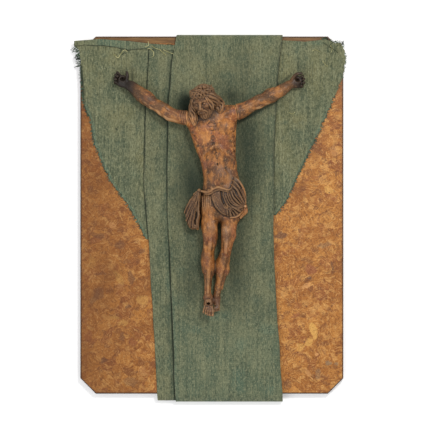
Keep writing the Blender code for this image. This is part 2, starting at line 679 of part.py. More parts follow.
def pillow(outline, front, back, soft, drop):
    """A slab with this outline. Its front, a height for each place, falls away near the outline."""
    beside, low, high = outside(outline)

    def distance(x, y, z):
        side = beside(x + 0 * y, y + 0 * x)
        held = np.clip(-side / soft, 0, 1)
        level = z - front(x, y) + drop * (1 - np.sqrt(1 - (1 - held) ** 2))
        h = np.maximum(1.2 - np.abs(level - side), 0) / 1.2
        return np.maximum(np.maximum(level, side) + h * h * 0.3, back - z)

    return distance, np.array((*low, back - 1)), np.array((*high, 41.0))


# The swag over the left hip: its folds hang from the waist and meet at the hip.
HIP = np.array((245.2, 206.2))
WAIST = np.array(
    ((211.0, 191.4), (217.0, 188.6), (223.5, 189.2), (229.2, 190.6), (232.2, 184.0), (233.8, 177.0))
)
SWIRL = np.array((226.4, 206.2))
# Which way, and how far, a fold reaches as it leaves the waist and before it arrives at the hip, hem first.
FOLD_LEAVES = np.array(((-0.5, 24), (0.5, 20.5), (1.5, 10), (3.5, 4), (6.7, 2.5)))
FOLD_ARRIVES = np.array(((-7.2, 21.5), (-12.8, 12.6), (-12.5, 3.1), (-1.8, -2.9), (2.6, -10.8)))
# Where the ridges of its folds lie, from the hem outward.
FINE_FOLDS = (0.38, 0.43, 0.51, 0.56, 0.64, 0.71)
BROAD_FOLDS = (0.78, 0.89, 0.98)


def along(share, marks):
    """The place at a share of the way through marks, on a smooth curve."""
    places = np.linspace(0, 1, len(marks))
    return np.array([curve(share, places, marks[:, i]) for i in range(2)])


def swag_fold(share, first=0.0, last=1.0, count=22):
    """One fold of the swag, a bent line from waist to hip. Share 0 is the hem and 1 the outer side."""
    start = along(share, WAIST)
    leave = along(share, FOLD_LEAVES)
    arrive = along(share, FOLD_ARRIVES)
    t = np.linspace(first, last, count)[:, None]
    near = (1 - t) ** 3 * start + 3 * (1 - t) ** 2 * t * (start + leave)
    return near + 3 * (1 - t) * t * t * (HIP + arrive) + t ** 3 * HIP


SWAG_OUTLINE = np.concatenate([swag_fold(0, count=12), swag_fold(1, count=9)[-2::-1], WAIST[4:0:-1]])


def swag_front(x, y):
    across = x + SHEET_MIDDLE[0]
    down = SHEET_MIDDLE[1] - y
    base = curve(across, (209, 216, 224, 232, 238, 243, 248), (36.6, 37.4, 37.6, 36.6, 34.8, 31.4, 26.0))
    return base - np.where(down < 199, 0.010, 0.006) * (down - 199) ** 2


BUNCH_TOP = np.array((199.4, 190.6))
BUNCH_ENDS = np.array(
    ((185.2, 206.5), (184.8, 214.0), (186.6, 221.8), (189.6, 228.4), (193.0, 229.4), (197.6, 229.0),
     (199.4, 228.0))
)
BUNCH_SIDE = ((200.0, 210.0), (201.0, 196.0), (201.4, 189.2), (196.4, 191.2))
BUNCH_OUTLINE = np.concatenate([BUNCH_ENDS, BUNCH_SIDE])


def bunch_front(x, y):
    across = x + SHEET_MIDDLE[0]
    down = SHEET_MIDDLE[1] - y
    return curve(down, (188, 196, 208, 220, 230), (32.6, 31.8, 30.4, 29.2, 28.6)) - 0.2 * (200.5 - across)


def bunch_fold(place, first=0.0, last=1.0, count=20):
    """A fold of the bunch, from its gathering point to a place along its lower edge, counted in ends."""
    end = np.array([np.interp(place, range(len(BUNCH_ENDS)), BUNCH_ENDS[:, i]) for i in range(2)])
    bow = np.array((-0.9, -1.6)) * (1 - place / (len(BUNCH_ENDS) - 1))
    t = np.linspace(first, last, count)[:, None]
    sway = np.array((0.35, 0.0)) * np.sin(7 * t + 2 * place)
    return BUNCH_TOP + (end - BUNCH_TOP) * t + bow * np.sin(np.pi * t) + sway


def shape_swag(clay):
    cloth = clay.twin()
    cloth.join(pillow(SWAG_OUTLINE, swag_front, 14.2, 4.0, 1.6), 0, 1.5)
    # The end of the cloth hangs out behind the hip.
    behind = (at(*HIP, 25), at(245.0, 211.5, 24.5), at(240.6, 217.6, 25))
    strand(cloth, behind, (2.2, 2.9, 1.6), 0.8)
    # A smooth strip along the hem and a deep valley inside it.
    drawn_all(cloth, [swag_fold(0.32, 0.02, 0.55)], (0.9, 1.6, 1.5, 0.6), 1.2, -0.1, True)
    # Fine folds that run together at the hip, and broad ones outside them.
    inner = [swag_fold(share, 0.03 + 0.14 * (k % 2), 0.97) for k, share in enumerate(FINE_FOLDS)]
    drawn_all(cloth, inner, (0.6, 1.0, 0.95, 0.5), 0.3, 0.05, False, 0.2)
    between = [swag_fold((a + b) / 2, 0.06, 0.8) for a, b in zip(FINE_FOLDS, FINE_FOLDS[1:])]
    drawn_all(cloth, between, (0.3, 0.7, 0.65, 0.3), 0.3, 0.05, True, 0.3)
    outer = [swag_fold(share, 0.0, 0.97) for share in BROAD_FOLDS]
    drawn_all(cloth, outer, (0.8, 1.5, 1.6, 0.8), 0.5, -0.2, False, 0.2)
    between = [swag_fold(share - 0.045, 0.08, 0.8) for share in BROAD_FOLDS]
    drawn_all(cloth, between, (0.4, 1.1, 0.9, 0.3), 0.4, 0.1, True, 0.25)
    # Below the swirl the folds fan out over the hem.
    fan = []
    for run in (0.55, 0.63, 0.71, 0.79, 0.87):
        end = swag_fold(0.03, run, run, 1)[0]
        t = np.linspace(0.1, 1, 14)[:, None]
        fan.append(SWIRL + (end - SWIRL) * t + np.array((1.1, -0.9)) * np.sin(np.pi * t) * (run - 0.45) / 0.4)
    drawn_all(cloth, fan, (0.6, 0.9, 1.1, 0.9), 0.3, 0.05, False, 0.25)
    gaps = [(a + b)[3:-1] / 2 for a, b in zip(fan, fan[1:])]
    drawn_all(cloth, gaps, (0.3, 0.7, 0.7, 0.4), 0.3, 0.1, True, 0.3)
    # The rolled hem, the swirl and the gathering at the hip.
    drawn_all(cloth, [swag_fold(0.0)], (0.9, 1.05, 1.1, 1.0, 0.8), 0.2, 0.15)
    drawn_all(cloth, [swag_fold(0.07, 0.08, 0.6)], (0.3, 0.5, 0.5, 0.3), 0.3, 0.15, True)
    turns = np.linspace(0, 3.6 * math.pi, 30)
    swirl = [SWIRL + (0.5 + 2.3 * t / turns[-1]) * np.array((math.cos(t), math.sin(t))) for t in turns]
    drawn_all(cloth, [swirl], (0.5, 0.7, 0.75, 0.6), 0.15, 0.35)
    cloth.join(ball(at(*HIP, 28.0), (1.6, 1.7, 2.4)), 0.8)
    # The rolled waist rises over the belly and crosses at a small knot above the right thigh.
    waist = (
        at(198.5, 190.8, 31.8),
        at(204.5, 191.6, 34.4),
        at(209.4, 191.6, 36.4),
        at(213.6, 188.6, 37.6),
        at(218.3, 187.2, 38.3),
        at(222.8, 188.8, 38.4),
        at(227.6, 190.2, 37.8),
        at(231.4, 188.6, 36.2),
    )
    strand(cloth, waist, (0.9, 1.2, 1.4, 1.15, 1.2, 1.05, 0.6), 0.25, 26)
    below = np.array((1.0, -2.1, -0.6))
    strand(cloth, [place + below for place in waist[1:7]], (0.8, 1.0, 1.1, 1.0, 0.6), 0.4, 22)
    cloth.join(ball(at(209.6, 191.0, 35.6), (2.4, 2.2, 2.1)), 0.4)
    clay.merge(cloth, 0.35)


def shape_bunch(clay):
    bunch = clay.twin()
    bunch.join(pillow(BUNCH_OUTLINE, bunch_front, 16.5, 3.0, 2.2), 0, 1.5)
    broad = [bunch_fold(place) for place in (0, 1, 2, 3.1, 5.2)]
    drawn_all(bunch, broad, (0.5, 0.95, 1.3, 1.5, 1.4), 0.3, 0.05, False, 0.15)
    fine = [bunch_fold(place, 0.15 + 0.1 * (k % 3)) for k, place in enumerate((0.6, 1.45, 2.6, 3.6, 4.9, 5.7))]
    drawn_all(bunch, fine, (0.4, 0.6, 0.7, 0.8, 0.6), 0.25, 0.1, False, 0.25)
    shallow = [bunch_fold(place, 0.25, 0.98) for place in (0.3, 1.1, 1.75, 2.3, 3.3)]
    drawn_all(bunch, shallow, (0.2, 0.6, 0.8, 0.7), 0.3, 0.0, True, 0.3)
    drawn_all(bunch, [bunch_fold(4.3, 0.42, 0.93)], (0.5, 1.2, 1.3, 0.9), 0.3, -1.2, True)
    bunch.join(ball(at(*BUNCH_TOP, 31.4), (1.9, 1.7, 2.6)), 0.9)
    clay.merge(bunch, 0.4)
    # A deep gap parts it from the cloth on the thigh.
    clay.cut(bar(at(200.2, 202.5, 31.5), at(200.6, 226.5, 31.0), 0.9, 1.15, 2.2), 0.3)


def shape_cloth(clay):
    """The carved loincloth: a swag over the figure's left hip and a bunch that hangs at the right."""
    # Thin cloth over the right thigh, in upright folds that fade out down the leg.
    upright = []
    for k in range(5):
        t = np.linspace(0, 1, 14)
        across = 202.2 + 2.2 * k + 0.25 * np.sin(2.5 * t + k) - 0.35 * t * (k - 2)
        upright.append(np.stack([across, 193 + (20 - 1.6 * k) * t], 1))
    drawn_all(clay, upright, (0.9, 0.8, 0.6, 0.2), 0.6, -0.1, False, 0.25)
    shape_swag(clay)
    shape_bunch(clay)


def shape_shoulder(clay, side):
    """Three grooves round the right arm where it meets the shoulder, and a crease along each upper arm."""
    if side == "right":
        for across in (181.2, 183.4, 185.4):
            drawn(clay, ((across + 0.6, 111.6), (across - 0.3, 116.4), (across, 122.4)), (0.5, 0.6), 0.6, 0.2, True)
        drawn(clay, ((178, 115.6), (170, 111.0), (162.5, 105.6)), (0.3, 0.7, 0.3), 1.6, 0.45, True)
    else:
        drawn(clay, ((241, 108.6), (249, 105.0), (256.5, 101.0)), (0.3, 0.7, 0.3), 1.6, 0.45, True)


def shape_hand(clay, side):
    if side == "right":
        wrist = at(129.8, 85.4, 18.8)
        palm = at(121.4, 80.8, 17.2)
        along = unit(palm - wrist)
        roots = ((119.4, 75.2), (117.4, 77.6), (116.2, 80.4), (116.2, 83.2))
        bends = ((117.7, 72.8), (115.8, 75.2), (114.8, 78.4), (115.0, 82.0))
        tips = ((119.4, 74.2), (118.0, 76.8), (116.6, 79.6), (116.4, 82.6))
        thumb = (at(126.0, 81.5, 18.6), at(127.3, 77.0, 20.4), at(126.9, 72.2, 20.8))
        hollow = at(122.4, 78.8, 21.6)
    else:
        wrist = at(288.5, 85, 18.8)
        palm = at(297.2, 81.6, 17.2)
        along = unit(palm - wrist)
        roots = ((300.4, 77.6), (301.6, 80.2), (301.8, 83.2), (300.2, 85.8))
        bends = ((303.0, 76.0), (304.1, 79.2), (304.2, 83.0), (302.4, 86.2))
        tips = ((302.4, 77.0), (303.4, 80.0), (303.3, 83.4), (301.4, 86.0))
        thumb = (at(292.6, 79.6, 18.8), at(296.4, 74.2, 21.4), at(301.6, 73.8, 22.2))
        hollow = at(298.2, 79.6, 21.6)
    out = np.cross(along, (0, 0, 1))
    clay.join(bar(wrist, palm, 4.1, 5.0, 0.72), 2.0, 5)
    clay.join(ball(palm, (6.4, 6.2, 3.0), np.array([along, unit(out), np.cross(along, unit(out))])), 2.0, 5)
    for k in range(4):
        line = (at(*roots[k], 17.4), at(*bends[k], 19.6), at(*tips[k], 22.6))
        strand(clay, line, (1.65, 1.5, 1.15), 0.4, steps=8)
    strand(clay, thumb, (2.2, 1.7, 1.25), 0.9, steps=8)
    clay.cut(ball(hollow, (2.6, 2.4, 3.4)), 1.2)
    clay.cut(bar(hollow, hollow - np.array((0, 0, 5.0)), 0.8), 0.2)


# The board and its cloth, in mm. The board lies face up on the turned-back ends of the cloth.

BOARD_LEFT, BOARD_RIGHT = 80.0, 343.7
BOARD_TOP, BOARD_BOTTOM = 36.0, 394.2
BOARD_CLIP = 15.5
BOARD_BACK, BOARD_FACE = 1.3, 9.5
BOARD_ARRIS = 0.6
CLOTH_THICKNESS = 0.7

# Heights of the middle of each cloth: turned back under the board, then layer on layer over its face.
FLAP_LEVEL = 0.55
WING_LEVEL = 10.15
STRIP_LEVEL = 11.15
RUNNER_LEVEL = 12.15


def turned(down, level, reach, outward):
    """The half round in which a cloth goes from the board's face to its back, past the edge at down."""
    centre = (level + FLAP_LEVEL) / 2
    radius = (level - FLAP_LEVEL) / 2
    turns = [math.pi * k / 6 for k in range(7)]
    return [(down + outward * reach * math.sin(t), centre + radius * math.cos(t)) for t in turns]


# The runner goes round both ends of the board, the strip under it only round the lower end.
RUNNER_PATH = (
    [(66.0, FLAP_LEVEL), (44.0, FLAP_LEVEL)]
    + turned(BOARD_TOP + 0.5, RUNNER_LEVEL, 1.9, -1)[::-1]
    + [(60 + 40 * k, RUNNER_LEVEL) for k in range(9)]
    + turned(BOARD_BOTTOM - 2.2, RUNNER_LEVEL, 10.0, 1)
    + [(364.0, FLAP_LEVEL)]
)
STRIP_PATH = (
    [(50 + 40 * k, STRIP_LEVEL) for k in range(5)]
    + [(240, STRIP_LEVEL - 0.3), (270, STRIP_LEVEL - 0.9), (320, WING_LEVEL + 0.1), (380, WING_LEVEL + 0.1)]
    + turned(BOARD_BOTTOM - 1.6, WING_LEVEL + 0.1, 8.2, 1)
    + [(368.0, FLAP_LEVEL)]
)

# Edges of the cloths: how far across they are at a few levels down the sheet.
RUNNER_LEFT = np.array(
    ((34, 177), (62, 172), (100, 168.6), (150, 167.6), (209, 167.8), (259, 170), (402, 175.5))
)
RUNNER_RIGHT = np.array(
    ((34, 283), (62, 279), (100, 276), (150, 274), (209, 273.4), (259, 274), (402, 282.8))
)
STRIP_LEFT = np.array(
    ((46, 149.2), (88, 147), (123, 145), (186, 144), (218, 146.5), (245, 148.8), (402, 157.6))
)
LEFT_WING_LEFT = np.array(
    ((41, 75), (50, 74), (63, 75.5), (67, 81), (100, 83.4), (123, 91), (140, 93.5), (158, 100), (180, 110),
     (208, 130), (239.5, 146.5))
)
RIGHT_WING_RIGHT = np.array(
    ((43, 342.6), (57, 345.7), (70, 344), (80, 341), (104, 331), (130, 320), (173, 299), (202, 286),
     (215, 276))
)
STRIP_RIGHT = 183.0
RIGHT_WING_LEFT = 262.0


def edge_at(down, edge):
    return np.interp(down, edge[:, 0], edge[:, 1])


def along_path(path, v):
    """Down and up at v along a cloth's path, with a row of the mesh at each of its marks."""
    run = v * (len(path) - 1)
    order = np.arange(len(path))
    down, up = (np.interp(run, order, marks) for marks in zip(*path))
    return down, up


def runner_place(u, v):
    down, up = along_path(RUNNER_PATH, v)
    left = edge_at(down, RUNNER_LEFT)
    return at(left + (edge_at(down, RUNNER_RIGHT) - left) * u, down, up)


def strip_place(u, v):
    """The strip narrows where it turns under the board, so that its end lies beside the runner's."""
    down, up = along_path(STRIP_PATH, v)
    left = edge_at(down, STRIP_LEFT)
    inner = RUNNER_LEFT[-1, 1] - 10.0
    right = STRIP_RIGHT
    if down > BOARD_BOTTOM - 6 or up < 5:
        right = inner + (STRIP_RIGHT - inner) * min(1.0, max(0.0, (up - 4) / 3))
    return at(left + (right - left) * u, down, up)


def wing_place(u, v, left_edge, right_edge, top):
    """A wing: u runs across it and v down it, with its top edge at top(across)."""
    first = min(left_edge[0, 0], right_edge[0, 0])
    last = max(left_edge[-1, 0], right_edge[-1, 0])
    level = first + (last - first) * v
    left = edge_at(level, left_edge)
    across = left + (edge_at(level, right_edge) - left) * u
    down = level + (top(across) - first) * (1 - v) ** 4
    return at(across, down, WING_LEVEL)


def left_wing_place(u, v):
    hidden = np.array(((41, 186.0), (200, 186.0), (239.5, 160.0)))

    def top(across):
        return 40.4 + 5.0 * np.clip((across - 100) / 70, 0, 1)

    return wing_place(u, v, LEFT_WING_LEFT, hidden, top)


def right_wing_place(u, v):
    hidden = np.array(((43, RIGHT_WING_LEFT), (215, RIGHT_WING_LEFT)))

    def top(across):
        return 40.5 + 3.0 * np.clip((across - 300) / 42, 0, 1)

    return wing_place(u, v, hidden, RIGHT_WING_RIGHT, top)


# Blender objects.

CELL = 0.7
TRIANGLES = {"corpus_body": 7000, "right_arm": 1000, "left_arm": 1000}


def material(name, colour, roughness):
    made = bpy.data.materials.new(name)
    made.use_nodes = True
    shader = made.node_tree.nodes["Principled BSDF"]
    shader.inputs["Base Color"].default_value = (*colour, 1)
    shader.inputs["Roughness"].default_value = roughness
    shader.inputs["Metallic"].default_value = 0
    return made


def add_object(name, data, look, collection, root):
    thing = bpy.data.objects.new(name, data)
    thing.parent = root
    data.materials.append(look)
    collection.objects.link(thing)
    return thing


def make_board():
    """The board's outline as a flat curve: a rectangle with clipped corners, extruded."""
    left, right = BOARD_LEFT, BOARD_RIGHT
    top, bottom = BOARD_TOP, BOARD_BOTTOM
    clip = BOARD_CLIP
    corners = (
        (left + clip, bottom), (right - clip, bottom), (right, bottom - clip), (right, top + clip),
        (right - clip, top), (left + clip, top), (left, top + clip), (left, bottom - clip),
    )
    outline = bpy.data.curves.new("board", "CURVE")
    outline.dimensions = "2D"
    outline.fill_mode = "BOTH"
    outline.extrude = MM * (BOARD_FACE - BOARD_BACK) / 2
    spline = outline.splines.new("POLY")
    spline.points.add(len(corners) - 1)
    for point, (across, down) in zip(spline.points, corners):
        point.co = (*(MM * at(across, down, 0)), 1)
    spline.use_cyclic_u = True
    return outline


def soften_board(board):
    board.location.z = MM * (BOARD_FACE + BOARD_BACK) / 2
    board.modifiers.new("joined", "WELD")
    edges = board.modifiers.new("arris", "BEVEL")
    edges.width = MM * BOARD_ARRIS
    edges.segments = 1
    edges.limit_method = "ANGLE"
    edges.angle_limit = math.radians(60)


def make_cloth(name, place, across_steps, along_steps):
    """An open sheet: place(u, v) gives its middle in mm, across it and then along it."""
    columns = across_steps + 1
    points = []
    for j in range(along_steps + 1):
        for i in range(columns):
            points.append(tuple(MM * place(i / across_steps, j / along_steps)))
    faces = []
    for j in range(along_steps):
        for i in range(across_steps):
            corner = j * columns + i
            faces.append((corner, corner + columns, corner + columns + 1, corner + 1))
    sheet = bpy.data.meshes.new(name)
    sheet.from_pydata(points, [], faces)
    return sheet


def thicken(sheet):
    shell = sheet.modifiers.new("thickness", "SOLIDIFY")
    shell.thickness = MM * CLOTH_THICKNESS
    shell.offset = 0


def largest_piece(data):
    """Leaves only the biggest connected piece of a mesh."""
    work = bmesh.new()
    work.from_mesh(data)
    seen = set()
    pieces = []
    for vert in work.verts:
        if vert in seen:
            continue
        piece = [vert]
        seen.add(vert)
        for known in piece:
            for edge in known.link_edges:
                other = edge.other_vert(known)
                if other not in seen:
                    seen.add(other)
                    piece.append(other)
        pieces.append(piece)
    keep = max(pieces, key=len)
    loose = [vert for piece in pieces if piece is not keep for vert in piece]
    bmesh.ops.delete(work, geom=loose, context="VERTS")
    work.to_mesh(data)
    work.free()


def thin_out(thing):
    fewer = thing.modifiers.new("fewer", "DECIMATE")
    fewer.ratio = TRIANGLES[thing.name] / (2 * len(thing.data.polygons))


def model_body():
    body = Clay(at(180, 322, 12.4), at(254, 78, 56), CELL)
    shape_trunk(body)
    shape_legs(body)
    shape_feet(body)
    shape_cloth(body)
    shape_head(body)
    shape_hair(body)
    shape_wreath(body)
    for joint, outward in ((RIGHT_JOINT, RIGHT_OUTWARD), (LEFT_JOINT, LEFT_OUTWARD)):
        body.cut(beyond(joint - outward * JOINT_GAP / 2, outward, 9.5))
    return body.mesh("corpus_body")


def model_arm(side):
    if side == "right":
        low, high = at(108, 128, 12.4), at(198, 66, 36)
        joints, joint, outward = RIGHT_ARM, RIGHT_JOINT, RIGHT_OUTWARD
    else:
        low, high = at(228, 124, 12.4), at(310, 66, 36)
        joints, joint, outward = LEFT_ARM, LEFT_JOINT, LEFT_OUTWARD
    arm = Clay(low, high, CELL)
    limb(arm, joints)
    shape_shoulder(arm, side)
    shape_hand(arm, side)
    arm.cut(beyond(joint + outward * JOINT_GAP / 2, -outward, 14))
    return arm.mesh(side + "_arm")


def settle(root, collection):
    """Puts the middle of the object's box over the origin, with its lowest point at height 0."""
    bpy.context.view_layer.update()
    graph = bpy.context.evaluated_depsgraph_get()
    low = np.full(3, np.inf)
    high = np.full(3, -np.inf)
    for thing in collection.objects:
        if thing.type == "EMPTY":
            continue
        shown = thing.evaluated_get(graph)
        points = [shown.matrix_world @ vert.co for vert in shown.to_mesh().vertices]
        low = np.minimum(low, np.min(points, axis=0))
        high = np.maximum(high, np.max(points, axis=0))
    root.location = (-(low[0] + high[0]) / 2, -(low[1] + high[1]) / 2, -low[2])


def main():
    for thing in list(bpy.data.objects):
        bpy.data.objects.remove(thing)
    collection = bpy.data.collections.new("crucifix corpus figure")
    bpy.context.scene.collection.children.link(collection)
    root = bpy.data.objects.new("root", None)
    collection.objects.link(root)

    carved = material("carved wood", (0.33, 0.16, 0.07), 0.5)
    panel = material("burl panel", (0.38, 0.18, 0.06), 0.4)
    green = material("green cloth", (0.12, 0.15, 0.10), 0.9)

    carvings = {"corpus_body": model_body(), "right_arm": model_arm("right"), "left_arm": model_arm("left")}
    for name, data in carvings.items():
        largest_piece(data)
        thin_out(add_object(name, data, carved, collection, root))
    soften_board(add_object("board", make_board(), panel, collection, root))
    cloths = (
        ("runner", runner_place, 8, len(RUNNER_PATH) - 1),
        ("side_strip", strip_place, 3, len(STRIP_PATH) - 1),
        ("left_wing", left_wing_place, 8, 20),
        ("right_wing", right_wing_place, 8, 18),
    )
    for name, place, across_steps, along_steps in cloths:
        thicken(add_object(name, make_cloth(name, place, across_steps, along_steps), green, collection, root))
    settle(root, collection)


main()
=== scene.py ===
"""A carved crucifix corpus on its cloth-covered board: what shows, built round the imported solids."""
import math

import bmesh
import bpy
import numpy as np
import openvdb
from mathutils import Matrix, Vector


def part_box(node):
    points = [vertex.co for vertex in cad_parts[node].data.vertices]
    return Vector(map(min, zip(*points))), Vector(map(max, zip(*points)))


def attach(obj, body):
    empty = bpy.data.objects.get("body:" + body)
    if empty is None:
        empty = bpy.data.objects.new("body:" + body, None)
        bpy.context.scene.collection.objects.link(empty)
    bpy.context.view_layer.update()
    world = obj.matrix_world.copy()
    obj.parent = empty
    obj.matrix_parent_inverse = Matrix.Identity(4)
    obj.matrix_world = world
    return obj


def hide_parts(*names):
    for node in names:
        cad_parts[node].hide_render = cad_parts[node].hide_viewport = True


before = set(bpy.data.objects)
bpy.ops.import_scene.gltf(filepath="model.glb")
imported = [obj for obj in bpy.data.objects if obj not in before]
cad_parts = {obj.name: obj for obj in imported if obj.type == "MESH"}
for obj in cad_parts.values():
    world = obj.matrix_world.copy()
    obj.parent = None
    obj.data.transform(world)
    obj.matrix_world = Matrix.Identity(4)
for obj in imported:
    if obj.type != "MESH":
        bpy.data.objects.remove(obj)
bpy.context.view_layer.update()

# Places are worked out in mm on a sheet that the object lies on: across from its left, down from its top.
MM = 0.001
SHEET_MIDDLE = (210.0, 218.0)
FAR = 9.0


def at(across, down, up):
    """A place, given in mm across and down from the sheet's top left corner and up from the ground."""
    return np.array([across - SHEET_MIDDLE[0], SHEET_MIDDLE[1] - down, up])


def unit(v):
    v = np.asarray(v, float)
    return v / np.linalg.norm(v)


def curve(t, places, values):
    """A smooth curve through values at places, read at t."""
    places = np.asarray(places, float)
    values = np.asarray(values, float)
    slopes = np.gradient(values, places)
    t = np.clip(t, places[0], places[-1])
    k = np.clip(np.searchsorted(places, t, side="right") - 1, 0, len(places) - 2)
    width = places[k + 1] - places[k]
    s = (t - places[k]) / width
    return (
        values[k] * (1 + 2 * s) * (1 - s) ** 2
        + slopes[k] * width * s * (1 - s) ** 2
        + values[k + 1] * s * s * (3 - 2 * s)
        + slopes[k + 1] * width * s * s * (s - 1)
    )


def ball(centre, radii, axes=None):
    """An ellipsoid. The rows of axes are its own directions."""
    centre = np.asarray(centre, float)
    radii = np.broadcast_to(np.asarray(radii, float), (3,))
    axes = np.eye(3) if axes is None else np.asarray(axes, float)
    reach = np.sqrt(((axes * radii[:, None]) ** 2).sum(0))

    def distance(x, y, z):
        x = x - centre[0]
        y = y - centre[1]
        z = z - centre[2]
        near = 0
        steep = 0
        for axis, radius in zip(axes, radii):
            part = (axis[0] * x + axis[1] * y + axis[2] * z) / radius
            near = near + part * part
            steep = steep + (part / radius) ** 2
        near = np.sqrt(near)
        steep = np.sqrt(steep)
        return np.where(near < 0.02, -radii.min(), near * (near - 1) / np.maximum(steep, 1e-6))

    return distance, centre - reach, centre + reach


def bar(start, end, first, last=None, flat=1.0, side=(0, 0, 1)):
    """A round bar that tapers from one radius to another, flattened along side."""
    start = np.asarray(start, float)
    end = np.asarray(end, float)
    last = first if last is None else last
    along = end - start
    length = max(np.linalg.norm(along), 1e-6)
    along = along / length
    side = np.asarray(side, float)
    side = side - side.dot(along) * along
    if np.linalg.norm(side) < 1e-3:
        side = np.cross(along, (1, 0, 0))
    side = unit(side)
    across = np.cross(side, along)

    def distance(x, y, z):
        x = x - start[0]
        y = y - start[1]
        z = z - start[2]
        run = along[0] * x + along[1] * y + along[2] * z
        held = np.clip(run / length, 0, 1)
        u = across[0] * x + across[1] * y + across[2] * z
        v = (side[0] * x + side[1] * y + side[2] * z) / flat
        run = run - held * length
        return np.sqrt(u * u + v * v + run * run) - (first + (last - first) * held)

    reach = max(first, last) * max(1.0, flat)
    return distance, np.minimum(start, end) - reach, np.maximum(start, end) + reach


def chain(line, radii):
    """One bar that bends through many places."""
    bars = [bar(a, b, ra, rb) for a, b, ra, rb in zip(line, line[1:], radii, radii[1:])]

    def distance(x, y, z):
        nearest = bars[0][0](x, y, z)
        for link, _, _ in bars[1:]:
            nearest = np.minimum(nearest, link(x, y, z))
        return nearest

    low = np.min([low for _, low, _ in bars], axis=0)
    high = np.max([high for _, _, high in bars], axis=0)
    return distance, low, high


def loft(levels, lefts, rights, backs, fronts, cap=4.0, power=2.0):
    """A body with an oval section at every level down the sheet."""
    middle, centre = SHEET_MIDDLE
    low_y = centre - levels[-1]
    high_y = centre - levels[0]

    def distance(x, y, z):
        down = centre - y
        left = curve(down, levels, lefts) - middle
        right = curve(down, levels, rights) - middle
        back = curve(down, levels, backs)
        front = curve(down, levels, fronts)
        a = (right - left) / 2
        b = (front - back) / 2
        u = (x - (left + right) / 2) / a
        v = (z - (front + back) / 2) / b
        near = (np.abs(u) ** power + np.abs(v) ** power) ** (1 / power)
        steep = np.sqrt((u / a) ** 2 + (v / b) ** 2) / np.maximum(np.sqrt(u * u + v * v), 1e-6)
        flatwise = (near - 1) / np.maximum(steep, 1e-6)
        ends = np.maximum(y - high_y, low_y - y) + 0 * flatwise
        h = np.maximum(cap - np.abs(flatwise - ends), 0) / cap
        return np.maximum(flatwise, ends) + h * h * cap / 4

    low = np.array([min(lefts) - middle - 1.0, low_y, min(backs) - 1.0])
    high = np.array([max(rights) - middle + 1.0, high_y, max(fronts) + 1.0])
    return distance, low, high


class Clay:
    """A block of signed distances in mm that shapes are joined to and cut from."""

    def __init__(self, low, high, cell):
        self.low = np.asarray(low, float)
        self.cell = cell
        self.count = np.ceil((np.asarray(high, float) - self.low) / cell).astype(int) + 1
        self.depth = np.full(self.count, FAR, np.float32)

    def place(self, low, high, margin):
        first = np.floor((np.asarray(low) - margin - self.low) / self.cell).astype(int)
        last = np.ceil((np.asarray(high) + margin - self.low) / self.cell).astype(int) + 1
        first = np.clip(first, 0, self.count)
        last = np.clip(last, 0, self.count)
        block = tuple(slice(a, b) for a, b in zip(first, last))
        x, y, z = (
            (self.low[i] + self.cell * np.arange(first[i], last[i])).astype(np.float32)
            for i in range(3)
        )
        return block, x[:, None, None], y[None, :, None], z[None, None, :]

    def join(self, shape, blend=0.0, margin=None):
        distance, low, high = shape
        margin = max(blend, 2.0) + 2.5 if margin is None else margin
        block, x, y, z = self.place(low, high, margin)
        old = self.depth[block]
        if old.size == 0:
            return
        new = distance(x, y, z).astype(np.float32)
        if blend:
            h = np.maximum(blend - np.abs(old - new), 0) / blend
            self.depth[block] = np.minimum(old, new) - h * h * blend / 4
        else:
            self.depth[block] = np.minimum(old, new)

    def cut(self, shape, blend=0.0, margin=None):
        distance, low, high = shape
        margin = max(blend, 2.0) + 1.0 if margin is None else margin
        block, x, y, z = self.place(low, high, margin)
        old = self.depth[block]
        if old.size == 0:
            return
        new = -distance(x, y, z).astype(np.float32)
        if blend:
            h = np.maximum(blend - np.abs(old - new), 0) / blend
            self.depth[block] = np.maximum(old, new) + h * h * blend / 4
        else:
            self.depth[block] = np.maximum(old, new)

    def front(self, x, y):
        """The height of the front surface at a place, in mm up."""
        fx = (x - self.low[0]) / self.cell
        fy = (y - self.low[1]) / self.cell
        i = int(np.clip(math.floor(fx), 0, self.count[0] - 2))
        j = int(np.clip(math.floor(fy), 0, self.count[1] - 2))
        fx = min(max(fx - i, 0.0), 1.0)
        fy = min(max(fy - j, 0.0), 1.0)
        pair = self.depth[i, j : j + 2] * (1 - fx) + self.depth[i + 1, j : j + 2] * fx
        column = pair[0] * (1 - fy) + pair[1] * fy
        inside = np.nonzero(column < 0)[0]
        if len(inside) == 0:
            return None
        k = min(inside[-1], len(column) - 2)
        a = column[k]
        b = column[k + 1]
        return float(self.low[2] + self.cell * (k + a / (a - b)))

    def merge(self, other, blend):
        """Joins another block of the same size to this one."""
        gap = np.abs(self.depth - other.depth)
        h = np.maximum(blend - gap, 0) / blend
        self.depth = np.minimum(self.depth, other.depth) - h * h * blend / 4

    def twin(self):
        """An empty block of the same size."""
        other = Clay(self.low, self.low, self.cell)
        other.count = self.count
        other.depth = np.full(self.count, FAR, np.float32)
        return other

    def mesh(self, name):
        grid = openvdb.FloatGrid(3.0)
        grid.copyFromArray(np.clip(self.depth, -3, 3))
        points, quads = grid.convertToQuads(0.0)
        points = (points * self.cell + self.low) / 1000.0
        data = bpy.data.meshes.new(name)
        data.from_pydata(points.tolist(), [], quads.tolist())
        return data


# The figure, in mm across and down the sheet and up from the ground.

HEAD_CENTRE = at(203.7, 100.4, 36.0)
HEAD_UP = unit((-0.27, 0.91, 0.31))
HEAD_FACE = unit(np.array((-0.34, -0.30, 0.88)) - np.dot((-0.34, -0.30, 0.88), HEAD_UP) * HEAD_UP)
HEAD_SIDE = np.cross(HEAD_UP, HEAD_FACE)
HEAD_AXES = np.array([HEAD_SIDE, HEAD_UP, HEAD_FACE])


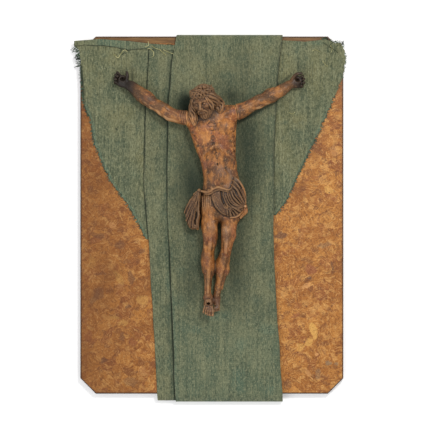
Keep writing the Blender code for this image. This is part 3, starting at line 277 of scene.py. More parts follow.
def on_head(side, up, face):
    """A place on the head: mm to the figure's left, up the head and out of the face."""
    return HEAD_CENTRE + side * HEAD_SIDE + up * HEAD_UP + face * HEAD_FACE


def strand(clay, points, radii, blend, steps=12):
    """A bar bent smoothly through a few points."""
    points = np.asarray(points, float)
    places = np.linspace(0, 1, len(points))
    run = np.linspace(0, 1, steps + 1)
    line = np.stack([curve(run, places, points[:, i]) for i in range(3)], 1)
    clay.join(chain(line, np.interp(run, np.linspace(0, 1, len(radii)), radii)), blend)


def drawn_all(clay, lines, radii, blend, lift=0.0, cutting=False, uneven=0.0):
    """Strands, or grooves, on the front surface as it is before any of them is there."""
    shapes = []
    for k, marks in enumerate(lines):
        line = []
        for across, down in marks:
            x, y, _ = at(across, down, 0)
            height = clay.front(x, y)
            if height is not None:
                line.append((x, y, height + lift))
        size = np.interp(np.linspace(0, 1, len(line)), np.linspace(0, 1, len(radii)), radii)
        size = size * (1 + uneven * np.sin(2.4 * k + 1 + 5 * np.linspace(0, 1, len(line))))
        shapes.append(chain(line, size))
    for shape in shapes:
        clay.cut(shape, blend) if cutting else clay.join(shape, blend)


def drawn(clay, marks, radii, blend, lift=0.0, cutting=False, steps=12):
    """One strand, or groove, bent smoothly through marks: places across and down the sheet."""
    marks = np.asarray(marks, float)
    places = np.linspace(0, 1, len(marks))
    run = np.linspace(0, 1, steps + 1)
    line = np.stack([curve(run, places, marks[:, i]) for i in range(2)], 1)
    drawn_all(clay, [line], radii, blend, lift, cutting)


# Levels of the trunk: down the sheet, left side, right side, back and front.
TRUNK = np.array(
    (
        (108, 199, 224, 17, 29),
        (113, 190, 233, 14, 32),
        (120, 187.5, 236.3, 13.2, 34.5),
        (126, 188.2, 236.6, 13, 35.7),
        (133, 190.2, 236.2, 13, 36.3),
        (143, 193.4, 235.9, 13.2, 36),
        (153, 197.4, 235.7, 14, 34.5),
        (163, 200.9, 236.4, 15, 32.5),
        (173, 202.9, 237.7, 15.5, 31.8),
        (183, 203.5, 240.3, 15, 32.3),
        (190, 202.8, 243.5, 14, 33.2),
        (198, 201.8, 245.3, 13.5, 33.6),
        (206, 201.2, 244.6, 13.5, 33),
        (214, 201.6, 240.5, 14, 31),
        (222, 203.2, 237, 16, 27),
    )
)
RIGHT_LEG = np.array(
    (
        (198, 201.6, 220, 13.6, 32.5),
        (215, 200.9, 218.2, 14, 33.2),
        (227, 201.5, 217.5, 15, 34),
        (238, 203.4, 217.7, 17, 35),
        (245, 203.5, 216.5, 19, 36),
        (251, 202.5, 214.4, 18.5, 34),
        (260, 201.2, 214.1, 16.5, 31.5),
        (268, 202.2, 213.8, 15.8, 30),
        (277, 203.8, 212.2, 16, 28),
        (288, 204.2, 211.2, 17, 26.5),
        (299, 204.0, 211.7, 17.5, 26.5),
    )
)
LEFT_LEG = np.array(
    (
        (198, 221, 244, 13.6, 32.5),
        (215, 220.6, 240.3, 14, 33),
        (226, 220.8, 237, 14.5, 33),
        (238, 221.6, 232.7, 16.5, 34),
        (249, 220.6, 230.9, 18.5, 35),
        (256, 218.6, 230, 17.5, 32),
        (264, 216.5, 228.2, 15, 29.5),
        (275, 216.1, 225, 14, 27),
        (286, 214.8, 221.8, 14.5, 24),
        (298, 213.8, 219.6, 15, 22.5),
    )
)
# Joints of each arm: across, down, up and the arm's radius there.
RIGHT_ARM = np.array(
    (
        (194, 118.8, 25, 6.6),
        (181, 117.3, 25, 6.3),
        (170, 114.2, 24, 6.1),
        (163, 109.4, 23.5, 6.1),
        (157, 105.6, 23, 5.3),
        (153.2, 103.6, 22.5, 5.0),
        (149.6, 100.4, 22, 6.2),
        (145.4, 97.3, 21.5, 6.9),
        (139.3, 92.8, 20.5, 5.8),
        (134.2, 88.4, 19.5, 4.9),
        (129.8, 85.4, 18.8, 4.3),
    )
)
LEFT_ARM = np.array(
    (
        (230, 113.2, 25, 7.0),
        (239, 111.4, 25, 7.1),
        (246, 108.6, 24.5, 6.0),
        (252, 105.2, 24, 5.5),
        (258, 102.1, 23.5, 5.8),
        (262, 100.4, 23, 5.4),
        (265.4, 99.2, 22.5, 5.2),
        (270.2, 95.7, 22, 6.9),
        (276.3, 93.0, 21, 5.6),
        (281, 90.6, 20.5, 4.8),
        (288.5, 85, 18.8, 4.1),
    )
)
RIGHT_JOINT = at(187.2, 118.4, 25)
RIGHT_OUTWARD = unit((-1.0, 0.12, 0.0))
LEFT_JOINT = at(236.7, 111.6, 25)
LEFT_OUTWARD = unit((1.0, 0.15, 0.0))
JOINT_GAP = 0.34


def beyond(place, outward, reach):
    """All that lies outward of a plane, within a ball round a place on it."""
    place = np.asarray(place, float)

    def distance(x, y, z):
        x = x - place[0]
        y = y - place[1]
        z = z - place[2]
        past = outward[0] * x + outward[1] * y + outward[2] * z
        return np.maximum(-past, np.sqrt(x * x + y * y + z * z) - reach)

    return distance, place - reach, place + reach


def limb(clay, joints, blend=2.0):
    """An arm through its joints, with the swell of the muscles between them."""
    run = np.linspace(0, len(joints) - 1, 4 * (len(joints) - 1) + 1)
    line = [curve(run, np.arange(len(joints)), joints[:, i]) for i in range(4)]
    spots = [at(a, d, u) for a, d, u in zip(*line[:3])]
    for a, b, ra, rb in zip(spots, spots[1:], line[3], line[3][1:]):
        clay.join(bar(a, b, ra, rb, 0.94), blend, 6.0)


def shape_head(clay):
    clay.join(bar(at(209.5, 117, 26), on_head(0, -5, -3), 8.4, 7.4), 4, 9)
    skull = ball(on_head(0, 2.6, -1.2), (10.4, 12.0, 12.2), HEAD_AXES)
    clay.join(skull, 3, 9)
    clay.join(ball(on_head(0, -4.6, 4.2), (7.7, 10.2, 7.6), HEAD_AXES), 3, 9)
    clay.join(ball(on_head(0, -10.2, 5.2), (5.6, 4.6, 6.0), HEAD_AXES), 3, 9)
    # Brow, cheekbones, nose, lips and chin.
    clay.join(bar(on_head(-5.4, 2.0, 9.4), on_head(5.4, 2.0, 9.4), 1.5), 2.5)
    for side in (-1, 1):
        clay.join(ball(on_head(side * 5.3, -3.2, 8.6), (2.7, 2.2, 2.4), HEAD_AXES), 3)
        clay.cut(ball(on_head(side * 3.7, -0.3, 12.6), (2.7, 1.7, 2.3), HEAD_AXES), 1.4)
        clay.join(ball(on_head(side * 3.8, -0.5, 9.6), (2.3, 1.5, 1.7), HEAD_AXES), 0.5)
    clay.join(bar(on_head(0, 1.8, 11.0), on_head(0, -4.2, 14.3), 1.0, 1.45), 1.3)
    clay.join(ball(on_head(0, -4.9, 12.9), (2.5, 1.25, 1.6), HEAD_AXES), 0.8)
    clay.join(bar(on_head(-2.2, -7.6, 11.4), on_head(2.2, -7.6, 11.4), 1.35), 1.2)
    clay.join(bar(on_head(-1.8, -9.4, 11.1), on_head(1.8, -9.4, 11.1), 1.2), 1.0)
    clay.cut(bar(on_head(-2.5, -8.5, 12.8), on_head(2.5, -8.5, 12.8), 0.42), 0.3)


def tress(clay, points, radii, locks, size, waves, steps=22):
    """A thick tress of hair: a round core with wavy locks laid side by side over its front and sides."""
    points = np.asarray(points, float)
    places = np.linspace(0, 1, len(points))
    run = np.linspace(0, 1, steps + 1)
    middle = np.stack([curve(run, places, points[:, i]) for i in range(3)], 1)
    thick = curve(run, np.linspace(0, 1, len(radii)), radii)
    ahead = np.gradient(middle, axis=0)
    clay.join(chain(middle, 0.9 * thick), 0.6)
    for k in range(locks):
        start = math.radians(-115 + 230 * k / (locks - 1))
        line = []
        for t, spot, reach, way in zip(run, middle, thick, ahead):
            way = unit(way)
            face = unit(np.array((0, 0, 1.0)) - way[2] * way)
            side = np.cross(face, way)
            turn = start + 0.34 * math.sin(2 * math.pi * waves * t + 1.1 * k)
            line.append(spot + reach * (math.sin(turn) * side + math.cos(turn) * face))
        taper = np.interp(run, (0, 0.12, 0.8, 1), (0.5, 1, 1, 0.45)) * size
        taper = taper * (1 + 0.2 * np.sin(2.1 * k + 6 * run))
        clay.join(chain(line, taper), 0.12)


CAP_LOCKS = 30
NAPE_LOCKS = 9
BEARD_ROWS = 2
BEARD_LOCKS = 9
SKULL = on_head(0, 2.6, -1.2)
SKULL_RADII = np.array((11.6, 12.9, 13.1))


def on_skull(turn, fall, out=0.0):
    """A place on the hair: turn round the head from its front, and fall down from its crown, in radians."""
    way = np.array((math.sin(turn) * math.sin(fall), math.cos(fall), math.cos(turn) * math.sin(fall)))
    return SKULL + (SKULL_RADII + out) * way @ HEAD_AXES


def shape_hair(clay):
    hair = clay.twin()
    # The cap over the skull, with locks that run down it from the crown.
    hair.join(ball(SKULL, SKULL_RADII - 0.7, HEAD_AXES), 0, 6)
    for k in range(CAP_LOCKS):
        turn = 2 * math.pi * (k + 0.5) / CAP_LOCKS
        line = [
            on_skull(turn + 0.10 * math.sin(5.2 * fall + 1.3 * k), fall, -0.35)
            for fall in np.linspace(0.12, 1.95 if abs(turn - math.pi) < 2.1 else 1.05, 12)
        ]
        hair.join(chain(line, np.linspace(0.55, 1.5, len(line))), 0.15)
    # Tresses beside the face and down the neck: the figure's right, then its left.
    right = (
        on_head(-8.2, 5.0, 5.0),
        on_head(-9.8, 0.5, 3.6),
        at(192.8, 107.0, 33.2),
        at(193.4, 113.5, 33.0),
        at(194.0, 120.0, 34.4),
        at(195.0, 125.4, 35.0),
    )
    tress(hair, right, (2.2, 2.7, 3.0, 3.4, 3.0, 1.0), 7, 1.15, 2.6)
    inner = (
        on_head(-6.4, 6, 8.4), on_head(-8.4, 0.6, 7.2), on_head(-9.0, -5.4, 5.8), on_head(-8.6, -10, 4.2)
    )
    tress(hair, inner, (1.2, 1.8, 1.9, 1.0), 4, 0.95, 1.6, 14)
    left = (
        on_head(8.6, 7.0, 4.2),
        on_head(10.6, 2.6, 3.2),
        at(217.4, 102.6, 33.8),
        at(219.4, 107.8, 32.6),
        at(219.8, 113.4, 32.2),
    )
    tress(hair, left, (2.2, 3.4, 4.4, 4.0, 1.2), 7, 1.25, 2.3)
    outer = (
        on_head(10.0, 4.4, -1.0), at(217.6, 99.6, 30.4), at(221.4, 104.6, 29.6), at(222.2, 110.2, 29.4)
    )
    tress(hair, outer, (2.2, 2.6, 2.4, 1.0), 5, 1.2, 1.9, 14)
    inner = (
        on_head(6.2, 6.0, 8.4), on_head(8.4, 0.8, 7.2), on_head(9.0, -4.8, 6.0), on_head(9.4, -10.0, 4.6)
    )
    tress(hair, inner, (1.2, 1.8, 1.9, 1.0), 4, 0.95, 1.6, 14)
    # The back of the hair lies on the shoulders.
    hair.join(ball(at(206, 104, 26), (14.0, 10.5, 8.0)), 3, 6)
    for k in range(NAPE_LOCKS):
        across = 194.5 + 2.9 * k
        line = (
            at(across + 1.0, 100, 33 - 0.25 * abs(k - 4)),
            at(across - 0.6, 106, 31),
            at(across + 0.8, 112, 28.5),
            at(across, 117, 26.5),
        )
        strand(hair, line, (1.5, 1.7, 1.6, 0.9), 0.3, 10)
    # The face stays open, from the wreath down to the beard.
    hair.cut(ball(on_head(0.2, -4.5, 13.6), (6.6, 12.4, 10.4), HEAD_AXES), 0.8)
    clay.merge(hair, 0.35)
    # The beard in two rows of curled locks, and the moustache.
    for row in range(BEARD_ROWS):
        count = BEARD_LOCKS - 2 * row
        for k in range(count):
            turn = math.radians(-80 + 160 * k / (count - 1))
            side = math.sin(turn)
            front = math.cos(turn)
            top = on_head(7.3 * side, -6.6 - 1.6 * front - 2.6 * row, 2.6 + (7.0 - 0.6 * row) * front)
            middle = on_head(6.3 * side + 0.5, -10.6 - 1.4 * row, 3.2 + (7.2 - 0.3 * row) * front)
            low = on_head(4.4 * side - 0.3, -13.6 - 1.2 * row, 3.4 + (6.2 + 0.4 * row) * front)
            curl = math.copysign(0.7, side + 0.01)
            tip = on_head(2.9 * side + curl, -15.6 - 1.5 * row, 4.0 + 4.8 * front)
            strand(clay, (top, middle, low, tip), (0.9, 1.15, 1.05, 0.5), 0.08, 10)
    for side in (-1, 1):
        places = ((0.3, -6.2, 13.0), (2.6, -6.6, 12.5), (4.4, -8.8, 10.9), (5.0, -11.4, 9.2))
        line = [on_head(side * across, up, face) for across, up, face in places]
        strand(clay, line, (0.7, 0.9, 0.8, 0.4), 0.15, 10)


WREATH_LEVEL = 7.8
WREATH_PAIRS = 3
WREATH_TURNS = 7
WREATH_STEPS = 190
THORNS = 15


def shape_wreath(clay):
    """A tall plaited ring round the crown of the head, wound both ways, with short thorns."""
    for sense in (-1, 1):
        for pair in range(WREATH_PAIRS):
            line = []
            for k in range(WREATH_STEPS + 1):
                turn = 2 * math.pi * k / WREATH_STEPS
                wind = sense * WREATH_TURNS * turn + 2 * math.pi * pair / WREATH_PAIRS
                out = 1.2 * math.cos(wind)
                rise = 3.1 * math.sin(wind)
                side = (10.4 + out) * math.sin(turn)
                face = (11.3 + out) * math.cos(turn) - 1.2
                line.append(on_head(side, WREATH_LEVEL + rise + 1.2 * math.cos(turn), face))
            for a, b in zip(line, line[1:]):
                clay.join(bar(a, b, 0.95), 0.1)
    for k in range(THORNS):
        turn = 2 * math.pi * (k + 0.3 * math.sin(5 * k)) / THORNS
        up = WREATH_LEVEL + 2.4 * math.sin(2.4 * k)
        root = on_head(11.2 * math.sin(turn), up, 12.1 * math.cos(turn) - 1.2)
        lean = turn + 0.1
        tip = on_head(12.8 * math.sin(lean), up + 1.2 * math.cos(3 * k), 13.7 * math.cos(lean) - 1.2)
        clay.join(bar(root, tip, 0.8, 0.4), 0.2)


def ring(clay, across, down, wide, high, radius, lean=0.0):
    """A shallow oval groove cut into the front."""
    marks = []
    for k in range(17):
        turn = 2 * math.pi * k / 16
        x = wide * math.cos(turn)
        y = high * math.sin(turn)
        marks.append((across + x - y * lean, down + x * lean + y))
    drawn(clay, marks, (radius, radius), 0.4, 0.15, True, 32)


RIBS = 5
RIB_STEP = 4.9
RIB_LIFT = 0.95


def shape_trunk(clay):
    clay.join(loft(*TRUNK.T, cap=6.0, power=2.25), 0, 9)
    clay.join(bar(at(213, 114.5, 24.5), at(190, 118.6, 25), 7.6, 6.6), 5, 9)
    clay.join(bar(at(213, 113.5, 24.5), at(234, 112.2, 25), 7.6, 7.0), 5, 9)
    # Breast, shoulder caps and the collarbones.
    clay.join(ball(at(200.2, 129.0, 31.2), (9.6, 7.6, 5.4)), 3.5)
    clay.join(ball(at(225.6, 127.0, 31.2), (9.9, 7.9, 5.4)), 3.5)
    clay.join(ball(at(190.8, 118.8, 27.5), (5.6, 6.8, 5.0)), 3)
    clay.join(ball(at(232.2, 113.6, 27.5), (6.0, 7.0, 5.2)), 3)
    clay.join(bar(at(209.5, 121.4, 33.6), at(193, 115.4, 31.4), 1.3, 1.1), 1.8)
    clay.join(bar(at(216, 120.8, 33.6), at(231, 109.5, 30.6), 1.3, 1.1), 1.8)
    # The breastbone, the arch of the ribs and the hollow below it.
    clay.cut(ball(at(214.8, 158, 39.0), (8.6, 10.5, 6.0)), 4)
    drawn(clay, ((212.2, 131), (212.6, 138), (213.4, 146)), (1.1, 1.2), 2.4, 1.0, True)
    drawn(clay, ((213.0, 147), (208, 149.5), (204.0, 155), (202.4, 161)), (1.3, 1.3, 0.7), 3.2, -0.7)
    drawn(clay, ((213.8, 147), (220, 148.5), (226.4, 153), (232.0, 159)), (1.3, 1.3, 0.7), 3.2, -0.7)
    for k in range(RIBS):
        fall = RIB_STEP * k
        left = ((204.0 - 0.5 * k, 136.5), (199.6 + 0.3 * k, 136.0), (192.2 + 1.9 * k, 132.0))
        right = ((223.0 + 1.0 * k, 135.5), (228.6 + 0.5 * k, 135.2), (236.4, 131.0))
        for rib in (left, right):
            rib = [(across, down + fall) for across, down in rib]
            drawn(clay, rib, (0.3, 0.8, 1.0), 1.2, RIB_LIFT, True, 16)
    # Small carved marks: a ring at the throat, studs down the breastbone and ovals on the belly.
    ring(clay, 211.8, 125.2, 4.4, 2.1, 0.42, -0.08)
    drawn(clay, ((208.2, 130.2), (212, 130.8), (215.8, 130.0)), (0.35, 0.45, 0.35), 0.4, 0.15, True, 12)
    ring(clay, 212.8, 137.8, 1.7, 2.3, 0.34)
    ring(clay, 213.6, 144.2, 1.4, 1.9, 0.34)
    ring(clay, 208.0, 158.8, 1.7, 3.4, 0.38, 0.12)
    ring(clay, 216.6, 155.6, 1.8, 2.9, 0.38, -0.1)
    # The belly, its middle line, sides and navel.
    clay.join(ball(at(217.8, 176, 27.4), (11.5, 11, 6.2)), 4)
    drawn(clay, ((214.6, 148), (216.0, 154), (217.4, 162)), (0.5, 0.6), 2.2, 0.7, True, 16)
    drawn(
        clay, ((206.8, 156), (206.2, 164), (207.6, 171), (209.6, 178)), (0.5, 1.2, 0.4), 3.0, 1.1, True,
        20
    )
    drawn(
        clay, ((224.0, 157), (225.4, 164), (228.0, 170), (229.6, 175)), (0.5, 1.2, 0.4), 3.0, 1.1, True,
        20
    )
    clay.cut(ball(at(217.6, 164.4, 33.2), (1.2, 1.7, 2.0)), 0.8)


def shape_legs(clay):
    clay.join(loft(*RIGHT_LEG.T, cap=4.0), 3.5, 9)
    clay.join(loft(*LEFT_LEG.T, cap=4.0), 3.5, 9)
    # Knee caps with the hollows beside them, the thigh muscles above and the calves below.
    for knee in (at(209.9, 245.8, 33.4), at(226.0, 249.8, 32.2)):
        clay.join(ball(knee, (3.9, 4.3, 3.3)), 1.8)
    hollows = (
        ((205.4, 237), (206.0, 243.5), (206.6, 250.5)),
        ((214.4, 237), (214.0, 243.5), (212.8, 250.5)),
        ((222.8, 240), (222.2, 247.5), (222.6, 254.5)),
        ((230.0, 241), (229.8, 248), (228.6, 254.5)),
    )
    for hollow in hollows:
        drawn(clay, hollow, (0.5, 1.2, 0.5), 2.4, 0.95, True, 16)
    for across, down, up in (
        (206.4, 231, 30.6), (213.8, 229, 30.4), (224.6, 234, 30.2), (233.0, 231, 28.4)
    ):
        clay.join(ball(at(across, down, up), (3.2, 9.0, 3.6)), 3.0)
    for across, down, up in (
        (204.2, 264, 23.6), (212.0, 266, 22.6), (218.2, 268, 21.6), (227.0, 266, 21.8)
    ):
        clay.join(ball(at(across, down, up), (2.6, 9.5, 4.0)), 2.6)
    drawn(clay, ((209.2, 253), (208.6, 268), (208.2, 292)), (1.3, 1.1, 0.9), 2.6, -0.75, False, 24)
    drawn(clay, ((225.0, 257), (222.4, 270), (218.2, 292)), (1.3, 1.1, 0.9), 2.6, -0.75, False, 24)
    drawn(clay, ((206.0, 270), (205.6, 282), (206.2, 294)), (0.3, 0.5, 0.3), 1.2, 0.3, True, 16)
    drawn(clay, ((211.2, 272), (210.4, 284), (210.0, 294)), (0.3, 0.5, 0.3), 1.2, 0.3, True, 16)


def shape_feet(clay):
    # The right foot lies in front, the left one beside and behind it.
    clay.join(bar(at(207.8, 296.5, 21.6), at(207.8, 301.5, 18.0), 3.9, 3.5), 2, 5)
    for across in (204.6, 210.9):
        clay.join(ball(at(across, 297.6, 22.4), (1.5, 1.9, 1.9)), 1.2)
    instep = unit(np.array((0, 0.62, 0.78)))
    clay.join(bar(at(208.0, 298.5, 22.6), at(208.2, 307.8, 25.6), 3.9, 4.6, 0.62, instep), 2, 5)
    for k in range(5):
        root = at(204.9 + 1.75 * k, 305.4 + 0.35 * k, 26.8 + 0.1 * k)
        joint = at(204.0 + 2.15 * k, 309.4 + 0.9 * k - 0.1 * k * k, 28.0 + 0.1 * k)
        tip = at(203.7 + 2.25 * k, 312.2 + 1.3 * k - 0.15 * k * k, 26.6 + 0.1 * k)
        size = 0.92 + 0.12 * k
        clay.join(bar(root, joint, size, size + 0.05), 0.25)
        clay.join(bar(joint, tip, size + 0.05, size), 0.2)
    for k in range(4):
        line = (at(206.2 + 1.3 * k, 299.5, 26.2), at(205.9 + 1.7 * k, 304.6, 28.2))
        clay.join(bar(line[0], line[1], 0.5, 0.6), 0.8)
    clay.join(bar(at(216.6, 296.5, 18.2), at(216.8, 301.5, 16.6), 3.2, 3.2), 2, 5)
    clay.join(bar(at(216.8, 299, 18.6), at(216.8, 307.0, 20.2), 3.2, 3.3, 0.7, instep), 2, 5)
    for k in range(4):
        root = at(214.9 + 1.25 * k, 305.0, 21.2)
        joint = at(214.9 + 1.4 * k, 308.8 - 0.3 * k, 22.4 - 0.3 * k)
        tip = at(214.9 + 1.5 * k, 311.8 - 0.6 * k, 21.2 - 0.3 * k)
        clay.join(bar(root, joint, 0.95, 0.95), 0.25)
        clay.join(bar(joint, tip, 0.95, 0.85), 0.2)
    clay.join(bar(at(211.5, 300, 19), at(214.5, 301.5, 18), 2.4), 1.5)
    clay.cut(bar(at(208.5, 303.2, 32), at(208.5, 303.2, 24.0), 1.0, 0.9), 0.3)
    clay.cut(bar(at(214.7, 306.2, 31), at(214.7, 305.8, 19), 0.9, 0.8), 0.3)


def smoothed(points, rounds=2):
    """A closed line with its corners cut off."""
    points = np.asarray(points, float)
    for _ in range(rounds):
        after = np.roll(points, -1, axis=0)
        points = np.stack([0.75 * points + 0.25 * after, 0.25 * points + 0.75 * after], 1).reshape(-1, 2)
    return points


def outside(outline):
    """How far a place is outside this outline on the sheet, in mm; below nought inside it."""
    corners = smoothed(outline) * (1, -1) + (-SHEET_MIDDLE[0], SHEET_MIDDLE[1])

    def distance(x, y):
        nearest = np.full(x.shape, 1e9)
        inside = np.zeros(x.shape, bool)
        for (ax, ay), (bx, by) in zip(corners, np.roll(corners, -1, axis=0)):
            along_x = bx - ax
            along_y = by - ay
            share = ((x - ax) * along_x + (y - ay) * along_y) / (along_x ** 2 + along_y ** 2)
            share = np.clip(share, 0, 1)
            nearest = np.minimum(nearest, (x - ax - share * along_x) ** 2 + (y - ay - share * along_y) ** 2)
            if ay != by:
                inside ^= ((ay > y) != (by > y)) & (x < ax + (y - ay) * along_x / along_y)
        return np.where(inside, -1, 1) * np.sqrt(nearest)

    return distance, corners.min(axis=0), corners.max(axis=0)


def pillow(outline, front, back, soft, drop):
    """A slab with this outline. Its front, a height for each place, falls away near the outline."""
    beside, low, high = outside(outline)

    def distance(x, y, z):
        side = beside(x + 0 * y, y + 0 * x)
        held = np.clip(-side / soft, 0, 1)
        level = z - front(x, y) + drop * (1 - np.sqrt(1 - (1 - held) ** 2))
        h = np.maximum(1.2 - np.abs(level - side), 0) / 1.2
        return np.maximum(np.maximum(level, side) + h * h * 0.3, back - z)

    return distance, np.array((*low, back - 1)), np.array((*high, 41.0))


# The swag over the left hip: its folds hang from the waist and meet at the hip.
HIP = np.array((245.2, 206.2))
WAIST = np.array(
    ((211.0, 191.4), (217.0, 188.6), (223.5, 189.2), (229.2, 190.6), (232.2, 184.0), (233.8, 177.0))
)
SWIRL = np.array((226.4, 206.2))
# Which way, and how far, a fold reaches as it leaves the waist and before it arrives at the hip, hem first.
FOLD_LEAVES = np.array(((-0.5, 24), (0.5, 20.5), (1.5, 10), (3.5, 4), (6.7, 2.5)))
FOLD_ARRIVES = np.array(((-7.2, 21.5), (-12.8, 12.6), (-12.5, 3.1), (-1.8, -2.9), (2.6, -10.8)))
# Where the ridges of its folds lie, from the hem outward.
FINE_FOLDS = (0.38, 0.43, 0.51, 0.56, 0.64, 0.71)
BROAD_FOLDS = (0.78, 0.89, 0.98)


def along(share, marks):
    """The place at a share of the way through marks, on a smooth curve."""
    places = np.linspace(0, 1, len(marks))
    return np.array([curve(share, places, marks[:, i]) for i in range(2)])


def swag_fold(share, first=0.0, last=1.0, count=22):
    """One fold of the swag, a bent line from waist to hip. Share 0 is the hem and 1 the outer side."""
    start = along(share, WAIST)
    leave = along(share, FOLD_LEAVES)
    arrive = along(share, FOLD_ARRIVES)
    t = np.linspace(first, last, count)[:, None]
    near = (1 - t) ** 3 * start + 3 * (1 - t) ** 2 * t * (start + leave)
    return near + 3 * (1 - t) * t * t * (HIP + arrive) + t ** 3 * HIP


SWAG_OUTLINE = np.concatenate([swag_fold(0, count=12), swag_fold(1, count=9)[-2::-1], WAIST[4:0:-1]])


def swag_front(x, y):
    across = x + SHEET_MIDDLE[0]
    down = SHEET_MIDDLE[1] - y
    base = curve(across, (209, 216, 224, 232, 238, 243, 248), (36.6, 37.4, 37.6, 36.6, 34.8, 31.4, 26.0))
    return base - np.where(down < 199, 0.010, 0.006) * (down - 199) ** 2


BUNCH_TOP = np.array((199.4, 190.6))
BUNCH_ENDS = np.array(
    ((185.2, 206.5), (184.8, 214.0), (186.6, 221.8), (189.6, 228.4), (193.0, 229.4), (197.6, 229.0),
     (199.4, 228.0))
)
BUNCH_SIDE = ((200.0, 210.0), (201.0, 196.0), (201.4, 189.2), (196.4, 191.2))
BUNCH_OUTLINE = np.concatenate([BUNCH_ENDS, BUNCH_SIDE])


def bunch_front(x, y):
    across = x + SHEET_MIDDLE[0]
    down = SHEET_MIDDLE[1] - y
    return curve(down, (188, 196, 208, 220, 230), (32.6, 31.8, 30.4, 29.2, 28.6)) - 0.2 * (200.5 - across)


def bunch_fold(place, first=0.0, last=1.0, count=20):
    """A fold of the bunch, from its gathering point to a place along its lower edge, counted in ends."""
    end = np.array([np.interp(place, range(len(BUNCH_ENDS)), BUNCH_ENDS[:, i]) for i in range(2)])
    bow = np.array((-0.9, -1.6)) * (1 - place / (len(BUNCH_ENDS) - 1))
    t = np.linspace(first, last, count)[:, None]
    sway = np.array((0.35, 0.0)) * np.sin(7 * t + 2 * place)
    return BUNCH_TOP + (end - BUNCH_TOP) * t + bow * np.sin(np.pi * t) + sway


def shape_swag(clay):
    cloth = clay.twin()
    cloth.join(pillow(SWAG_OUTLINE, swag_front, 14.2, 4.0, 1.6), 0, 1.5)
    # The end of the cloth hangs out behind the hip.
    behind = (at(*HIP, 25), at(245.0, 211.5, 24.5), at(240.6, 217.6, 25))
    strand(cloth, behind, (2.2, 2.9, 1.6), 0.8)
    # A smooth strip along the hem and a deep valley inside it.
    drawn_all(cloth, [swag_fold(0.32, 0.02, 0.55)], (0.9, 1.6, 1.5, 0.6), 1.2, -0.1, True)
    # Fine folds that run together at the hip, and broad ones outside them.
    inner = [swag_fold(share, 0.03 + 0.14 * (k % 2), 0.97) for k, share in enumerate(FINE_FOLDS)]
    drawn_all(cloth, inner, (0.6, 1.0, 0.95, 0.5), 0.3, 0.05, False, 0.2)
    between = [swag_fold((a + b) / 2, 0.06, 0.8) for a, b in zip(FINE_FOLDS, FINE_FOLDS[1:])]
    drawn_all(cloth, between, (0.3, 0.7, 0.65, 0.3), 0.3, 0.05, True, 0.3)
    outer = [swag_fold(share, 0.0, 0.97) for share in BROAD_FOLDS]
    drawn_all(cloth, outer, (0.8, 1.5, 1.6, 0.8), 0.5, -0.2, False, 0.2)
    between = [swag_fold(share - 0.045, 0.08, 0.8) for share in BROAD_FOLDS]
    drawn_all(cloth, between, (0.4, 1.1, 0.9, 0.3), 0.4, 0.1, True, 0.25)
    # Below the swirl the folds fan out over the hem.
    fan = []
    for run in (0.55, 0.63, 0.71, 0.79, 0.87):
        end = swag_fold(0.03, run, run, 1)[0]
        t = np.linspace(0.1, 1, 14)[:, None]
        fan.append(
            SWIRL + (end - SWIRL) * t + np.array((1.1, -0.9)) * np.sin(np.pi * t) * (run - 0.45) / 0.4
        )
    drawn_all(cloth, fan, (0.6, 0.9, 1.1, 0.9), 0.3, 0.05, False, 0.25)
    gaps = [(a + b)[3:-1] / 2 for a, b in zip(fan, fan[1:])]
    drawn_all(cloth, gaps, (0.3, 0.7, 0.7, 0.4), 0.3, 0.1, True, 0.3)
    # The rolled hem, the swirl and the gathering at the hip.
    drawn_all(cloth, [swag_fold(0.0)], (0.9, 1.05, 1.1, 1.0, 0.8), 0.2, 0.15)
    drawn_all(cloth, [swag_fold(0.07, 0.08, 0.6)], (0.3, 0.5, 0.5, 0.3), 0.3, 0.15, True)
    turns = np.linspace(0, 3.6 * math.pi, 30)
    swirl = [SWIRL + (0.5 + 2.3 * t / turns[-1]) * np.array((math.cos(t), math.sin(t))) for t in turns]
    drawn_all(cloth, [swirl], (0.5, 0.7, 0.75, 0.6), 0.15, 0.35)
    cloth.join(ball(at(*HIP, 28.0), (1.6, 1.7, 2.4)), 0.8)
    # The rolled waist rises over the belly and crosses at a small knot above the right thigh.
    waist = (
        at(198.5, 190.8, 31.8),
        at(204.5, 191.6, 34.4),
        at(209.4, 191.6, 36.4),
        at(213.6, 188.6, 37.6),
        at(218.3, 187.2, 38.3),
        at(222.8, 188.8, 38.4),
        at(227.6, 190.2, 37.8),
        at(231.4, 188.6, 36.2),
    )
    strand(cloth, waist, (0.9, 1.2, 1.4, 1.15, 1.2, 1.05, 0.6), 0.25, 26)
    below = np.array((1.0, -2.1, -0.6))
    strand(cloth, [place + below for place in waist[1:7]], (0.8, 1.0, 1.1, 1.0, 0.6), 0.4, 22)
    cloth.join(ball(at(209.6, 191.0, 35.6), (2.4, 2.2, 2.1)), 0.4)
    clay.merge(cloth, 0.35)


